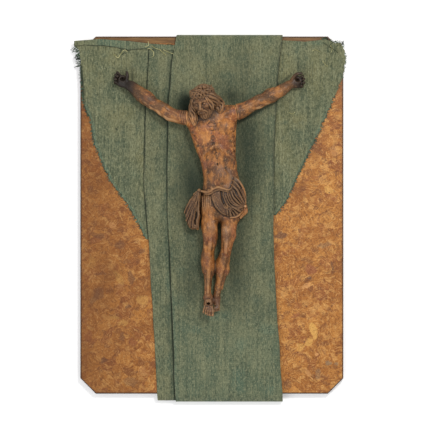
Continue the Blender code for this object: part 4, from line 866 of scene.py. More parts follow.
def shape_bunch(clay):
    bunch = clay.twin()
    bunch.join(pillow(BUNCH_OUTLINE, bunch_front, 16.5, 3.0, 2.2), 0, 1.5)
    broad = [bunch_fold(place) for place in (0, 1, 2, 3.1, 5.2)]
    drawn_all(bunch, broad, (0.5, 0.95, 1.3, 1.5, 1.4), 0.3, 0.05, False, 0.15)
    fine = [
        bunch_fold(place, 0.15 + 0.1 * (k % 3)) for k, place in enumerate((0.6, 1.45, 2.6, 3.6, 4.9, 5.7))
    ]
    drawn_all(bunch, fine, (0.4, 0.6, 0.7, 0.8, 0.6), 0.25, 0.1, False, 0.25)
    shallow = [bunch_fold(place, 0.25, 0.98) for place in (0.3, 1.1, 1.75, 2.3, 3.3)]
    drawn_all(bunch, shallow, (0.2, 0.6, 0.8, 0.7), 0.3, 0.0, True, 0.3)
    drawn_all(bunch, [bunch_fold(4.3, 0.42, 0.93)], (0.5, 1.2, 1.3, 0.9), 0.3, -1.2, True)
    bunch.join(ball(at(*BUNCH_TOP, 31.4), (1.9, 1.7, 2.6)), 0.9)
    clay.merge(bunch, 0.4)
    # A deep gap parts it from the cloth on the thigh.
    clay.cut(bar(at(200.2, 202.5, 31.5), at(200.6, 226.5, 31.0), 0.9, 1.15, 2.2), 0.3)


def shape_cloth(clay):
    """The carved loincloth: a swag over the figure's left hip and a bunch that hangs at the right."""
    # Thin cloth over the right thigh, in upright folds that fade out down the leg.
    upright = []
    for k in range(5):
        t = np.linspace(0, 1, 14)
        across = 202.2 + 2.2 * k + 0.25 * np.sin(2.5 * t + k) - 0.35 * t * (k - 2)
        upright.append(np.stack([across, 193 + (20 - 1.6 * k) * t], 1))
    drawn_all(clay, upright, (0.9, 0.8, 0.6, 0.2), 0.6, -0.1, False, 0.25)
    shape_swag(clay)
    shape_bunch(clay)


def shape_shoulder(clay, side):
    """Three grooves round the right arm where it meets the shoulder, and a crease along each upper arm."""
    if side == "right":
        for across in (181.2, 183.4, 185.4):
            drawn(
                clay, ((across + 0.6, 111.6), (across - 0.3, 116.4), (across, 122.4)), (0.5, 0.6), 0.6,
                0.2, True
            )
        drawn(clay, ((178, 115.6), (170, 111.0), (162.5, 105.6)), (0.3, 0.7, 0.3), 1.6, 0.45, True)
    else:
        drawn(clay, ((241, 108.6), (249, 105.0), (256.5, 101.0)), (0.3, 0.7, 0.3), 1.6, 0.45, True)


def shape_hand(clay, side):
    if side == "right":
        wrist = at(129.8, 85.4, 18.8)
        palm = at(121.4, 80.8, 17.2)
        along = unit(palm - wrist)
        roots = ((119.4, 75.2), (117.4, 77.6), (116.2, 80.4), (116.2, 83.2))
        bends = ((117.7, 72.8), (115.8, 75.2), (114.8, 78.4), (115.0, 82.0))
        tips = ((119.4, 74.2), (118.0, 76.8), (116.6, 79.6), (116.4, 82.6))
        thumb = (at(126.0, 81.5, 18.6), at(127.3, 77.0, 20.4), at(126.9, 72.2, 20.8))
        hollow = at(122.4, 78.8, 21.6)
    else:
        wrist = at(288.5, 85, 18.8)
        palm = at(297.2, 81.6, 17.2)
        along = unit(palm - wrist)
        roots = ((300.4, 77.6), (301.6, 80.2), (301.8, 83.2), (300.2, 85.8))
        bends = ((303.0, 76.0), (304.1, 79.2), (304.2, 83.0), (302.4, 86.2))
        tips = ((302.4, 77.0), (303.4, 80.0), (303.3, 83.4), (301.4, 86.0))
        thumb = (at(292.6, 79.6, 18.8), at(296.4, 74.2, 21.4), at(301.6, 73.8, 22.2))
        hollow = at(298.2, 79.6, 21.6)
    out = np.cross(along, (0, 0, 1))
    clay.join(bar(wrist, palm, 4.1, 5.0, 0.72), 2.0, 5)
    clay.join(ball(palm, (6.4, 6.2, 3.0), np.array([along, unit(out), np.cross(along, unit(out))])), 2.0, 5)
    for k in range(4):
        line = (at(*roots[k], 17.4), at(*bends[k], 19.6), at(*tips[k], 22.6))
        strand(clay, line, (1.65, 1.5, 1.15), 0.4, steps=8)
    strand(clay, thumb, (2.2, 1.7, 1.25), 0.9, steps=8)
    clay.cut(ball(hollow, (2.6, 2.4, 3.4)), 1.2)
    clay.cut(bar(hollow, hollow - np.array((0, 0, 5.0)), 0.8), 0.2)

# The board and its cloth, in mm on the same sheet.

BOARD_LEFT, BOARD_RIGHT = 80.0, 343.7
BOARD_TOP, BOARD_BOTTOM = 36.0, 394.2
BOARD_BACK = 1.3
BOARD_CLIP = 15.5
CLOTH_THICKNESS = 0.7
FLAP_LEVEL = 0.55
WING_LEVEL = 10.15
STRIP_LEVEL = 11.15
RUNNER_LEVEL = 12.15
# The runner's and the strip's mean widths, laid flat, in m.
RUNNER_WIDTH = 0.1105
STRIP_WIDTH = 0.0385
# The grid of a cloth has a row every so many mm.
CLOTH_STEP = 1.25
# How steeply a wing bends down past the board's side.
DROOP = 0.045
# The board's face has a plain strip along its top, down to here.
TOP_STRIP_END = 43.0

# From the sheet's places to the frame's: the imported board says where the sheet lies.
SHIFT = np.array(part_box("board")[0]) - MM * at(BOARD_LEFT, BOARD_BOTTOM, BOARD_BACK)


def srgb(red, green, blue):
    """A colour as it is seen, 0 to 255, in the numbers that a shader takes."""
    parts = [c / 255 for c in (red, green, blue)]
    return (*[c / 12.92 if c <= 0.04045 else ((c + 0.055) / 1.055) ** 2.4 for c in parts], 1)


class Look:
    """A material that is put together node by node. Its textures are measured in mm."""

    def __init__(self, name, roughness, specular=0.5, sheen=0.0):
        self.material = bpy.data.materials.new(name)
        self.material.use_nodes = True
        self.tree = self.material.node_tree
        self.shader = self.tree.nodes["Principled BSDF"]
        self.set(self.shader, "Roughness", roughness)
        self.set(self.shader, "Specular IOR Level", specular)
        self.set(self.shader, "Sheen Weight", sheen)
        self.place = self.tree.nodes.new("ShaderNodeTexCoord").outputs["Object"]

    def set(self, node, name, value):
        socket = node.inputs[name]
        if isinstance(value, bpy.types.NodeSocket):
            self.tree.links.new(value, socket)
        else:
            socket.default_value = value

    def scaled(self, size_x, size_y, size_z, turn=0.0, place=None):
        """Places measured in steps of these sizes, in mm, after a turn in degrees about Z."""
        node = self.tree.nodes.new("ShaderNodeMapping")
        node.vector_type = "TEXTURE"
        node.inputs["Rotation"].default_value = (0, 0, math.radians(turn))
        node.inputs["Scale"].default_value = (MM * size_x, MM * size_y, MM * size_z)
        self.set(node, "Vector", self.place if place is None else place)
        return node.outputs["Vector"]

    def noise(self, vector, detail=2.0, rough=0.5, bent=0.0):
        node = self.tree.nodes.new("ShaderNodeTexNoise")
        self.set(node, "Vector", vector)
        self.set(node, "Scale", 1.0)
        self.set(node, "Detail", detail)
        self.set(node, "Roughness", rough)
        self.set(node, "Distortion", bent)
        return node.outputs["Fac"]

    def cells(self, vector, feature="F1", spread=1.0):
        node = self.tree.nodes.new("ShaderNodeTexVoronoi")
        node.feature = feature
        self.set(node, "Vector", vector)
        self.set(node, "Scale", 1.0)
        self.set(node, "Randomness", spread)
        return node

    def between(self, value, low, high, first=0.0, last=1.0):
        node = self.tree.nodes.new("ShaderNodeMapRange")
        node.interpolation_type = "SMOOTHSTEP"
        for name, given in (
            ("Value", value), ("From Min", low), ("From Max", high), ("To Min", first), ("To Max", last)
        ):
            self.set(node, name, given)
        return node.outputs["Result"]

    def sum(self, kind, first, second):
        node = self.tree.nodes.new("ShaderNodeMath")
        node.operation = kind
        self.set(node, 0, first)
        self.set(node, 1, second)
        return node.outputs["Value"]

    def mix(self, share, first, second, kind="MIX"):
        node = self.tree.nodes.new("ShaderNodeMix")
        node.data_type = "RGBA"
        node.blend_type = kind
        self.set(node, "Factor", share)
        for socket, given in ((6, first), (7, second)):
            self.set(node, socket, given)
        return node.outputs[2]

    def over(self, colour, value, low, high, share, tint):
        """The colour with a tint over it, from none where value is low to that share where it is high."""
        return self.mix(self.between(value, low, high, 0.0, share), colour, srgb(*tint))

    def channels(self, name):
        """The four numbers of a colour attribute."""
        node = self.tree.nodes.new("ShaderNodeAttribute")
        node.attribute_name = name
        parts = self.tree.nodes.new("ShaderNodeSeparateColor")
        self.set(parts, "Color", node.outputs["Color"])
        return [parts.outputs[k] for k in range(3)] + [node.outputs["Alpha"]]

    def turned(self, vector, angle):
        """Places turned about Z by an angle in radians that may differ from place to place."""
        node = self.tree.nodes.new("ShaderNodeVectorRotate")
        node.rotation_type = "Z_AXIS"
        self.set(node, "Vector", vector)
        self.set(node, "Angle", angle)
        return node.outputs["Vector"]

    def random_parts(self, cells):
        """The three random numbers of each cell."""
        node = self.tree.nodes.new("ShaderNodeSeparateColor")
        self.set(node, "Color", cells.outputs["Color"])
        return [node.outputs[k] for k in range(3)]

    def mark(self, vector, across, down, wide, high, turn, share):
        """A patch with soft edges at a place on the sheet, as strong as share at its middle."""
        node = self.tree.nodes.new("ShaderNodeMapping")
        node.vector_type = "TEXTURE"
        x, y, _ = SHIFT + MM * at(across, down, 0)
        node.inputs["Location"].default_value = (x + 4 * MM, y + 4 * MM, 0)
        node.inputs["Rotation"].default_value = (0, 0, math.radians(turn))
        node.inputs["Scale"].default_value = (MM * wide, MM * high, 1.0)
        self.set(node, "Vector", vector)
        far = self.tree.nodes.new("ShaderNodeVectorMath")
        far.operation = "LENGTH"
        self.set(far, 0, node.outputs["Vector"])
        return self.between(far.outputs["Value"], 1.15, 0.8, 0.0, share)

    def parts_of(self, vector):
        node = self.tree.nodes.new("ShaderNodeSeparateXYZ")
        self.set(node, "Vector", vector)
        return [node.outputs[k] for k in range(3)]

    def bump(self, height, depth, strength=1.0):
        """Relief of that depth in mm."""
        node = self.tree.nodes.new("ShaderNodeBump")
        self.set(node, "Height", height)
        self.set(node, "Distance", MM * depth)
        self.set(node, "Strength", strength)
        self.set(self.shader, "Normal", node.outputs["Normal"])

    def finish(self, colour):
        self.set(self.shader, "Base Color", colour)
        return self.material


def wood_look(name, grain_turn):
    """Old carved wood, with painted shade and patina in its hollows and painted glints. Attributes hold how
    proud, deep, dull, dark, worn and ruddy a place is.
    """
    look = Look(name, 0.45, 0.35)
    proud, deep, dull_and_shade, dark = look.channels("tone")
    worn, ruddy = look.channels("wear")[:2]
    grain = look.noise(look.scaled(0.7, 8.0, 0.7, grain_turn), 3.0, 0.6, 0.4)
    patina = look.noise(look.scaled(9, 13, 9, grain_turn), 2.0, 0.55)
    mottle = look.noise(look.scaled(2.7, 5.2, 2.7, grain_turn), 5.0, 0.7)
    fleck = look.noise(look.scaled(0.9, 1.3, 0.9), 2.0, 0.5)
    colour = look.mix(look.between(patina, 0.4, 0.6), srgb(106, 66, 36), srgb(172, 110, 52))
    colour = look.over(colour, ruddy, 0.0, 1.0, 0.6, (134, 72, 42))
    colour = look.over(colour, mottle, 0.52, 0.66, 0.8, (204, 138, 74))
    colour = look.over(colour, mottle, 0.46, 0.33, 0.85, (74, 46, 31))
    colour = look.over(colour, grain, 0.5, 0.75, 0.5, (92, 56, 30))
    # Dull places darken; spots of painted shadow below the loincloth's hem are among them.
    colour = look.over(colour, dull_and_shade, 0.0, 1.0, 0.85, (72, 53, 36))
    colour = look.over(colour, fleck, 0.6, 0.72, 0.5, (54, 36, 25))
    # Tiny light specks are painted highlights, glints of the varnish.
    colour = look.over(colour, fleck, 0.4, 0.3, 0.5, (206, 156, 108))
    light = look.mix(dull_and_shade, srgb(204, 152, 102), srgb(128, 98, 68))
    colour = look.mix(look.between(proud, 0.535, 0.66, 0.0, 0.6), colour, light)
    colour = look.over(colour, worn, 0.0, 1.0, 0.75, (206, 156, 108))
    # Painted shade and patina darken the hollows, the narrow ones and then the broad ones.
    colour = look.over(colour, proud, 0.475, 0.33, 0.85, (46, 30, 20))
    colour = look.over(colour, deep, 0.46, 0.26, 0.8, (38, 27, 19))
    colour = look.over(colour, dark, 0.0, 1.0, 0.94, (26, 20, 15))
    look.set(look.shader, "Roughness", look.between(mottle, 0.3, 0.7, 0.34, 0.58))
    look.bump(look.sum("ADD", look.sum("MULTIPLY", grain, 0.6), look.sum("MULTIPLY", fleck, 0.6)), 0.25)
    return look.finish(colour)


def cloth_look(name):
    """Coarse faded green cloth. Its attribute holds how dark with stains and painted shade, how yellowed
    and how teal a place is.
    """
    look = Look(name, 0.92, 0.12, 0.1)
    stain_and_shade, yellow, teal = look.channels("tone")[:3]
    warp = look.noise(look.scaled(1.0, 3.6, 6.0), 2.0, 0.65)
    weft = look.noise(look.scaled(3.0, 1.0, 6.0), 2.0, 0.65)
    streak = look.noise(look.scaled(1.7, 46.0, 8.0), 3.0, 0.65)
    patch = look.noise(look.scaled(15, 22, 30), 3.0, 0.6)
    blot = look.noise(look.scaled(5, 7, 9), 3.0, 0.6)
    grit = look.noise(look.scaled(1.1, 1.1, 3.0), 2.0, 0.6)
    colour = look.mix(look.between(patch, 0.36, 0.64), srgb(88, 97, 76), srgb(114, 116, 88))
    colour = look.over(colour, yellow, 0.0, 1.0, 0.6, (128, 123, 84))
    colour = look.over(colour, blot, 0.52, 0.68, 0.5, (80, 92, 76))
    colour = look.over(colour, teal, 0.0, 1.0, 0.75, (82, 108, 92))
    colour = look.over(colour, streak, 0.52, 0.66, 0.55, (130, 132, 102))
    colour = look.over(colour, streak, 0.47, 0.33, 0.6, (72, 80, 64))
    colour = look.over(colour, warp, 0.5, 0.68, 0.55, (146, 146, 114))
    colour = look.over(colour, warp, 0.48, 0.3, 0.65, (58, 65, 50))
    colour = look.over(colour, weft, 0.52, 0.7, 0.35, (138, 140, 110))
    colour = look.over(colour, weft, 0.46, 0.3, 0.4, (62, 69, 53))
    colour = look.over(colour, grit, 0.6, 0.74, 0.7, (162, 160, 126))
    colour = look.over(colour, grit, 0.4, 0.26, 0.65, (48, 54, 42))
    # Stains, and painted shade and shadow round the figure and beside the cloths' edges, darken the cloth.
    colour = look.over(colour, stain_and_shade, 0.0, 1.0, 0.9, (36, 46, 38))
    height = look.sum("ADD", look.sum("ADD", warp, weft), look.sum("MULTIPLY", grit, 0.8))
    look.bump(height, 0.55)
    return look.finish(colour)


# Marks in the board's face: across, down, half width, half height, turn in degrees, colour and share.
DARK_MARK, GREY_MARK, RED_MARK = (96, 66, 52), (138, 112, 84), (142, 82, 54)
LIGHT_MARK, YELLOW_MARK = (208, 150, 92), (216, 164, 86)
BOARD_MARKS = (
    (280, 235, 6.5, 4.0, 5, DARK_MARK, 0.7),
    (311, 270, 5.5, 5.0, -30, RED_MARK, 0.7),
    (310, 278, 2.4, 1.6, 0, DARK_MARK, 0.8),
    (306.5, 286, 5.0, 2.6, 20, LIGHT_MARK, 0.7),
    (314, 331, 3.6, 9.0, 12, YELLOW_MARK, 0.85),
    (309, 342, 5.0, 4.0, 40, YELLOW_MARK, 0.7),
    (316, 354.5, 2.4, 2.0, 10, LIGHT_MARK, 0.8),
    (328.5, 363, 3.4, 2.2, 10, GREY_MARK, 0.8),
    (337, 365, 3.0, 1.6, -8, GREY_MARK, 0.6),
    (308, 373, 4.4, 2.4, -45, LIGHT_MARK, 0.7),
    (333, 267, 1.6, 5.0, 20, DARK_MARK, 0.6),
    (300, 348, 4.0, 5.0, -30, YELLOW_MARK, 0.5),
    (296, 316, 6.0, 2.4, 30, RED_MARK, 0.6),
    (318, 375, 3.0, 6.0, 0, GREY_MARK, 0.5),
    (288, 384, 4.0, 5.0, 0, DARK_MARK, 0.4),
    (325, 245, 8.0, 3.0, 10, GREY_MARK, 0.4),
    (330, 190, 5.0, 3.0, -20, YELLOW_MARK, 0.5),
    (334, 150, 4.0, 5.0, 15, LIGHT_MARK, 0.4),
    (104, 361, 4.4, 3.2, 10, DARK_MARK, 0.75),
    (95, 297, 8.0, 2.6, 60, GREY_MARK, 0.55),
    (142, 300, 6.0, 4.0, 10, YELLOW_MARK, 0.5),
    (120, 285, 5.0, 2.0, 45, LIGHT_MARK, 0.5),
    (132, 342, 5.0, 3.0, -30, RED_MARK, 0.5),
    (96, 240, 5.0, 3.0, 20, RED_MARK, 0.5),
    (112, 225, 4.0, 2.4, -40, LIGHT_MARK, 0.6),
    (90, 190, 3.0, 5.0, 10, DARK_MARK, 0.35),
    (126, 262, 4.0, 2.6, 15, DARK_MARK, 0.4),
    (119, 245, 6.0, 5.0, 0, DARK_MARK, 0.5),
    (98, 236, 7.0, 3.0, -20, DARK_MARK, 0.5),
    (131, 277, 2.8, 7.0, 10, DARK_MARK, 0.6),
    (98, 294, 7.0, 6.0, 35, DARK_MARK, 0.6),
    (142, 251, 3.4, 3.4, 0, DARK_MARK, 0.5),
    (100, 274, 5.0, 1.6, 0, DARK_MARK, 0.5),
    (122, 337, 2.4, 4.5, 0, DARK_MARK, 0.55),
    (130, 382, 6.0, 4.5, 0, GREY_MARK, 0.4),
    (118, 277, 8.0, 3.4, -50, YELLOW_MARK, 0.55),
    (123, 323, 5.0, 3.0, 5, YELLOW_MARK, 0.5),
    (92, 262, 4.0, 6.0, 0, YELLOW_MARK, 0.3),
    (128, 307, 2.0, 1.8, 0, DARK_MARK, 0.7),
    (142, 372, 4.0, 4.0, 0, LIGHT_MARK, 0.45),
    (88, 336, 3.4, 6.0, -15, RED_MARK, 0.5),
    (114, 318, 5.0, 2.2, -20, YELLOW_MARK, 0.45),
)


def panel_look():
    """A burl face: flakes whose grain runs every way, chips, eyes and clouds, and a plain dark edge."""
    look = Look("burl panel", 0.45, 0.22)
    x, y, _ = look.parts_of(look.place)
    bend = look.tree.nodes.new("ShaderNodeTexNoise")
    look.set(bend, "Vector", look.scaled(7, 7, 7))
    look.set(bend, "Scale", 1.0)
    look.set(bend, "Detail", 3.0)
    warped = look.tree.nodes.new("ShaderNodeVectorMath")
    warped.operation = "MULTIPLY_ADD"
    look.set(warped, 0, bend.outputs["Color"])
    look.set(warped, 1, (8 * MM, 8 * MM, 8 * MM))
    look.set(warped, 2, look.place)
    place = warped.outputs["Vector"]
    flake = look.random_parts(look.cells(look.scaled(13, 9, 40, 35, place)))
    chip = look.random_parts(look.cells(look.scaled(5.5, 4.0, 40, -25, place)))
    broad = look.noise(
        look.scaled(1.1, 11.0, 3.0, 0, look.turned(place, look.sum("MULTIPLY", flake[0], 3.1))), 3.0, 0.65
    )
    fine = look.noise(
        look.scaled(0.8, 5.5, 3.0, 0, look.turned(look.place, look.sum("MULTIPLY", chip[0], 3.1))), 2.0,
        0.65
    )
    clouds = look.noise(look.scaled(38, 46, 40), 3.0, 0.6)
    swirl = look.noise(look.scaled(6.4, 4.6, 6.0, 20), 5.0, 0.68, 0.8)
    eyes = look.noise(look.scaled(4.4, 3.4, 5.0), 2.0, 0.6)
    grit = look.noise(look.scaled(0.9, 0.9, 0.9), 2.0, 0.6)
    colour = look.mix(flake[1], srgb(152, 92, 38), srgb(184, 122, 56))
    colour = look.mix(look.between(flake[2], 0.7, 0.9, 0.0, 0.55), colour, srgb(142, 82, 46))
    colour = look.mix(look.between(chip[1], 0.84, 0.88, 0.0, 0.45), colour, srgb(212, 158, 90))
    colour = look.mix(look.between(chip[1], 0.14, 0.09, 0.0, 0.5), colour, srgb(112, 68, 42))
    colour = look.over(colour, swirl, 0.52, 0.7, 0.6, (214, 156, 86))
    colour = look.over(colour, swirl, 0.47, 0.3, 0.7, (114, 68, 36))
    colour = look.over(colour, broad, 0.54, 0.68, 0.6, (224, 170, 102))
    colour = look.over(colour, broad, 0.47, 0.33, 0.7, (104, 62, 34))
    for across, down, wide, high, turn, tint, share in BOARD_MARKS:
        colour = look.mix(look.mark(place, across, down, wide, high, turn, share), colour, srgb(*tint))
    colour = look.over(colour, fine, 0.47, 0.31, 0.6, (96, 58, 34))
    colour = look.over(colour, fine, 0.56, 0.7, 0.4, (226, 176, 112))
    colour = look.over(colour, clouds, 0.5, 0.3, 0.5, (112, 68, 38))
    colour = look.over(colour, eyes, 0.69, 0.75, 0.8, (84, 54, 44))
    colour = look.over(colour, grit, 0.58, 0.72, 0.6, (84, 52, 32))
    colour = look.over(colour, grit, 0.4, 0.28, 0.35, (222, 176, 120))
    left = SHIFT[0] + MM * at(BOARD_LEFT, 0, 0)[0]
    colour = look.mix(look.between(x, left + 0.11, left, 0.0, 0.5), colour, srgb(98, 56, 24))
    # The plain strip along the top, the dark line along every edge and the dark sides.
    top = SHIFT[1] + MM * at(0, TOP_STRIP_END, 0)[1]
    straight = look.noise(look.scaled(16.0, 1.0, 3.0), 2.0, 0.6)
    strip = look.mix(look.between(straight, 0.35, 0.65), srgb(98, 68, 38), srgb(132, 98, 58))
    colour = look.mix(look.between(y, top - 0.4 * MM, top + 0.4 * MM), colour, strip)
    inside = None
    for across, down in ((1, 0), (-1, 0), (0, 1), (0, -1), (1, 1), (1, -1), (-1, 1), (-1, -1)):
        reach = look.sum("ADD", look.sum("MULTIPLY", x, across), look.sum("MULTIPLY", y, down))
        corner = (
            SHIFT
            + MM * at(BOARD_LEFT if across > 0 else BOARD_RIGHT, BOARD_BOTTOM if down > 0 else BOARD_TOP, 0)
        )
        clip = BOARD_CLIP * MM if across and down else 0.0
        reach = look.sum("SUBTRACT", reach, float(corner[0] * across + corner[1] * down + clip))
        inside = reach if inside is None else look.sum("MINIMUM", inside, reach)
    colour = look.mix(look.between(inside, 2.0 * MM, 0.7 * MM, 0.0, 0.8), colour, srgb(58, 38, 28))
    facing = look.tree.nodes.new("ShaderNodeNewGeometry").outputs["Normal"]
    up = look.parts_of(facing)[2]
    layers = look.noise(look.scaled(26.0, 26.0, 0.9), 3.0, 0.6)
    side = look.mix(look.between(layers, 0.35, 0.65), srgb(50, 34, 25), srgb(88, 60, 42))
    colour = look.mix(look.between(up, 0.97, 0.75), colour, side)
    look.set(look.shader, "Roughness", look.between(clouds, 0.3, 0.7, 0.34, 0.5))
    look.bump(look.sum("ADD", look.sum("MULTIPLY", grit, 0.6), eyes), 0.12)
    return look.finish(colour)


def thread_look(name, light, dark):
    look = Look(name, 0.85, 0.2, 0.2)
    fibre = look.noise(look.scaled(0.5, 0.5, 0.5), 2.0, 0.6)
    length = look.noise(look.scaled(5, 5, 5), 1.0, 0.5)
    colour = look.mix(look.between(length, 0.35, 0.65), dark, light)
    colour = look.mix(look.between(fibre, 0.5, 0.75, 0.0, 0.5), colour, dark)
    look.bump(fibre, 0.1)
    return look.finish(colour)


def add(name, data, material, replaced=()):
    """A piece of the object. Its mesh is in mm on the sheet until it is put in its place here."""
    data.transform(Matrix.Translation(SHIFT))
    data.materials.append(material)
    data.shade_smooth()
    piece = bpy.data.objects.new(name, data)
    bpy.context.scene.collection.objects.link(piece)
    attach(piece, "root")
    if replaced:
        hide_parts(*replaced)
    return piece


# The carving.

CELL = 0.4
TRIANGLES = {"figure_body": 190000, "figure_right_arm": 50000, "figure_left_arm": 50000}
# How far the knife's unevenness bends a line and how deep it cuts, in mm.
BEND = 0.45
CUT_DEPTH = 0.16
# Random heights are drawn on a lattice of so many places each way, which then repeats.
LATTICE = 128
# The trunk's middle, in mm right of the sheet's, and how far out from it the arms' tones begin.
TRUNK_MIDDLE = 2.0
ARM_DULL_FROM = 26
ARM_WORN_FROM = 27
# Short strands lie in an oval on the crown of the head, no further down than CROWN_END.
CROWN_STRANDS = 60
CROWN_ACROSS, CROWN_DOWN = 202.5, 89.5
CROWN_WIDE, CROWN_HIGH = 1.25, 0.6
CROWN_END = 94.0
HEAD_LEVEL = 30


def blurred(depth, reach):
    """The block's distances, each the mean of those around it."""
    for axis in range(3):
        padded = np.concatenate(
            [
                np.repeat(np.take(depth, [0], axis), reach + 1, axis), depth,
                np.repeat(np.take(depth, [-1], axis), reach, axis)
            ],
            axis,
        )
        total = np.cumsum(padded, axis, dtype=np.float64)
        size = depth.shape[axis]
        last = np.take(total, range(2 * reach + 1, 2 * reach + 1 + size), axis)
        first = np.take(total, range(0, size), axis)
        depth = ((last - first) / (2 * reach + 1)).astype(np.float32)
    return depth


def cloud(x, y, size, seed):
    """Smooth random heights from -1 to 1, with hills about that far apart."""
    lattice = np.random.default_rng(seed).uniform(-1, 1, (LATTICE, LATTICE))
    x = np.asarray(x, float) / size
    y = np.asarray(y, float) / size
    i = np.floor(x).astype(int)
    j = np.floor(y).astype(int)
    u = x - i
    v = y - j
    u = u * u * (3 - 2 * u)
    v = v * v * (3 - 2 * v)
    next_i = (i + 1) % LATTICE
    next_j = (j + 1) % LATTICE
    i = i % LATTICE
    j = j % LATTICE
    near = lattice[i, j] * (1 - u) + lattice[next_i, j] * u
    far = lattice[i, next_j] * (1 - u) + lattice[next_i, next_j] * u
    return near * (1 - v) + far * v


def smooth_share(value, low, high):
    t = np.clip((value - low) / (high - low), 0, 1)
    return t * t * (3 - 2 * t)


def beside_line(points, line):
    """How far each point is beside a line on the sheet, below it where positive, and how far along."""
    across = points[:, 0] + SHEET_MIDDLE[0]
    down = SHEET_MIDDLE[1] - points[:, 1]
    nearest = np.full(len(points), 1e9)
    side = np.zeros(len(points))
    where = np.zeros(len(points))
    for k, (a, b) in enumerate(zip(line, line[1:])):
        way = b - a
        run = np.clip(((across - a[0]) * way[0] + (down - a[1]) * way[1]) / way.dot(way), 0, 1)
        off_x = across - a[0] - run * way[0]
        off_y = down - a[1] - run * way[1]
        far = np.hypot(off_x, off_y)
        closer = far < nearest
        nearest = np.where(closer, far, nearest)
        side = np.where(closer, far * np.sign(off_y), side)
        where = np.where(closer, k + run, where)
    return side, where


def spots(points, marks):
    """1 at each of some places on the sheet: across, down and size."""
    total = np.zeros(len(points))
    for across, down, size in marks:
        x, y, _ = at(across, down, 0)
        total = np.maximum(total, np.exp(-((points[:, 0] - x) ** 2 + (points[:, 1] - y) ** 2) / size ** 2))
    return total


# Worn and bright places of the carving, and dark ones; the dark ones below the loincloth's hem are painted
# shadow.
WORN_SPOTS = (
    (119.2, 73.9, 0.9), (117.9, 76.6, 0.9), (116.3, 79.4, 0.9), (298.2, 81.5, 0.8), (300.7, 81, 0.8),
    (297.6, 73.8, 1.0), (296.4, 86.2, 1.0),
    (245.3, 206.2, 1.2), (226.6, 206.2, 1.3), (203.5, 311, 0.7), (206.5, 313.2, 0.7), (209.3, 314.4, 0.7),
    (212.9, 314.6, 0.7), (204.6, 243, 0.7), (204.4, 247, 0.7), (211.8, 187.8, 1.3), (230.5, 250, 0.9),
)
DARK_SPOTS = (
    (261.5, 100.5, 3.0), (238.0, 112.0, 2.6), (203.0, 147.2, 1.6), (196.0, 121.5, 2.4), (213.0, 137, 1.5),
    (213.6, 144.2, 1.3), (228.5, 152, 2.4), (225.5, 160, 2.2), (208.0, 160, 1.6), (216.8, 156, 1.7),
    (130.5, 85.5, 3.4), (148.0, 103.0, 2.0), (166.0, 107.0, 2.0), (208.2, 306.4, 3.0), (214.8, 306, 2.6),
    (209, 183, 3.0), (214, 186, 3.0), (231, 178, 3.2), (226, 168, 2.2), (208, 172, 1.8), (231, 141, 2.2),
    (232, 160, 2.0), (222, 184, 2.6), (193, 133, 1.6), (198, 146, 1.8), (217, 214, 4.5), (222, 219, 3.4),
)
# Broad places where the wood is smooth and light: across, down, size and strength.
LIGHT_PATCHES = (
    (226, 230, 5.0, 0.42), (225.5, 243, 4.5, 0.4), (203.5, 137, 6.0, 0.3), (211, 226, 5.0, 0.2),
    (224, 127, 6.0, 0.2),
    (229, 178, 4.0, 0.3), (213.8, 200, 2.6, 0.3), (199.6, 197, 2.2, 0.35), (193.5, 199, 2.0, 0.3),
    (236, 205, 2.5, 0.25),
    (250, 107, 4.0, 0.25), (277, 96, 5.0, 0.25), (174, 113, 5.0, 0.25), (205.6, 285, 3.0, 0.35),
)


BODY_LEVELS = (140, 160, 185, 200, 215, 245, 290, 300, 316)
BODY_DULLNESS = (0.05, 0.3, 0.5, 0.75, 0.3, 0.3, 0.45, 0.75, 0.85)


def dullness_and_shade(points, facing):
    """1 where the wood is dull and dark: loincloth, hair and feet, and the upper side of the arms; also at
    dark spots, of which those below the loincloth's hem are painted shadow.
    """
    swag, bunch = (
        outside(outline)[0](points[:, 0], points[:, 1]) for outline in (SWAG_OUTLINE, BUNCH_OUTLINE)
    )
    cloth = 1 - smooth_share(np.minimum(swag, bunch), -0.5, 0.8)
    cloth = cloth * (points[:, 2] > 20)
    hair = 0.9 * (1 - smooth_share(np.linalg.norm(points - HEAD_CENTRE, axis=1), 18, 24))
    hair = hair - 0.5 * spots(points, ((205.5, 105.5, 6.0),))
    down = SHEET_MIDDLE[1] - points[:, 1]
    body = np.interp(down, BODY_LEVELS, BODY_DULLNESS)
    reach = np.abs(points[:, 0] - TRUNK_MIDDLE)
    body = np.where(reach > ARM_DULL_FROM, 0.42, body)
    for line in (RIGHT_ARM, LEFT_ARM):
        side, _ = beside_line(points, line[:, :2])
        patchy = smooth_share(cloud(points[:, 0] + points[:, 2], points[:, 1], 5.0, 70), -0.6, 0.5)
        body = np.maximum(body, 0.85 * smooth_share(-side, 0.5, 5.0) * patchy * (reach > ARM_WORN_FROM))
    far = smooth_share(reach, 54, 80)
    return np.clip(
        np.maximum.reduce([cloth, hair, body, 0.8 * far, facing * spots(points, DARK_SPOTS)]), 0, 1
    )


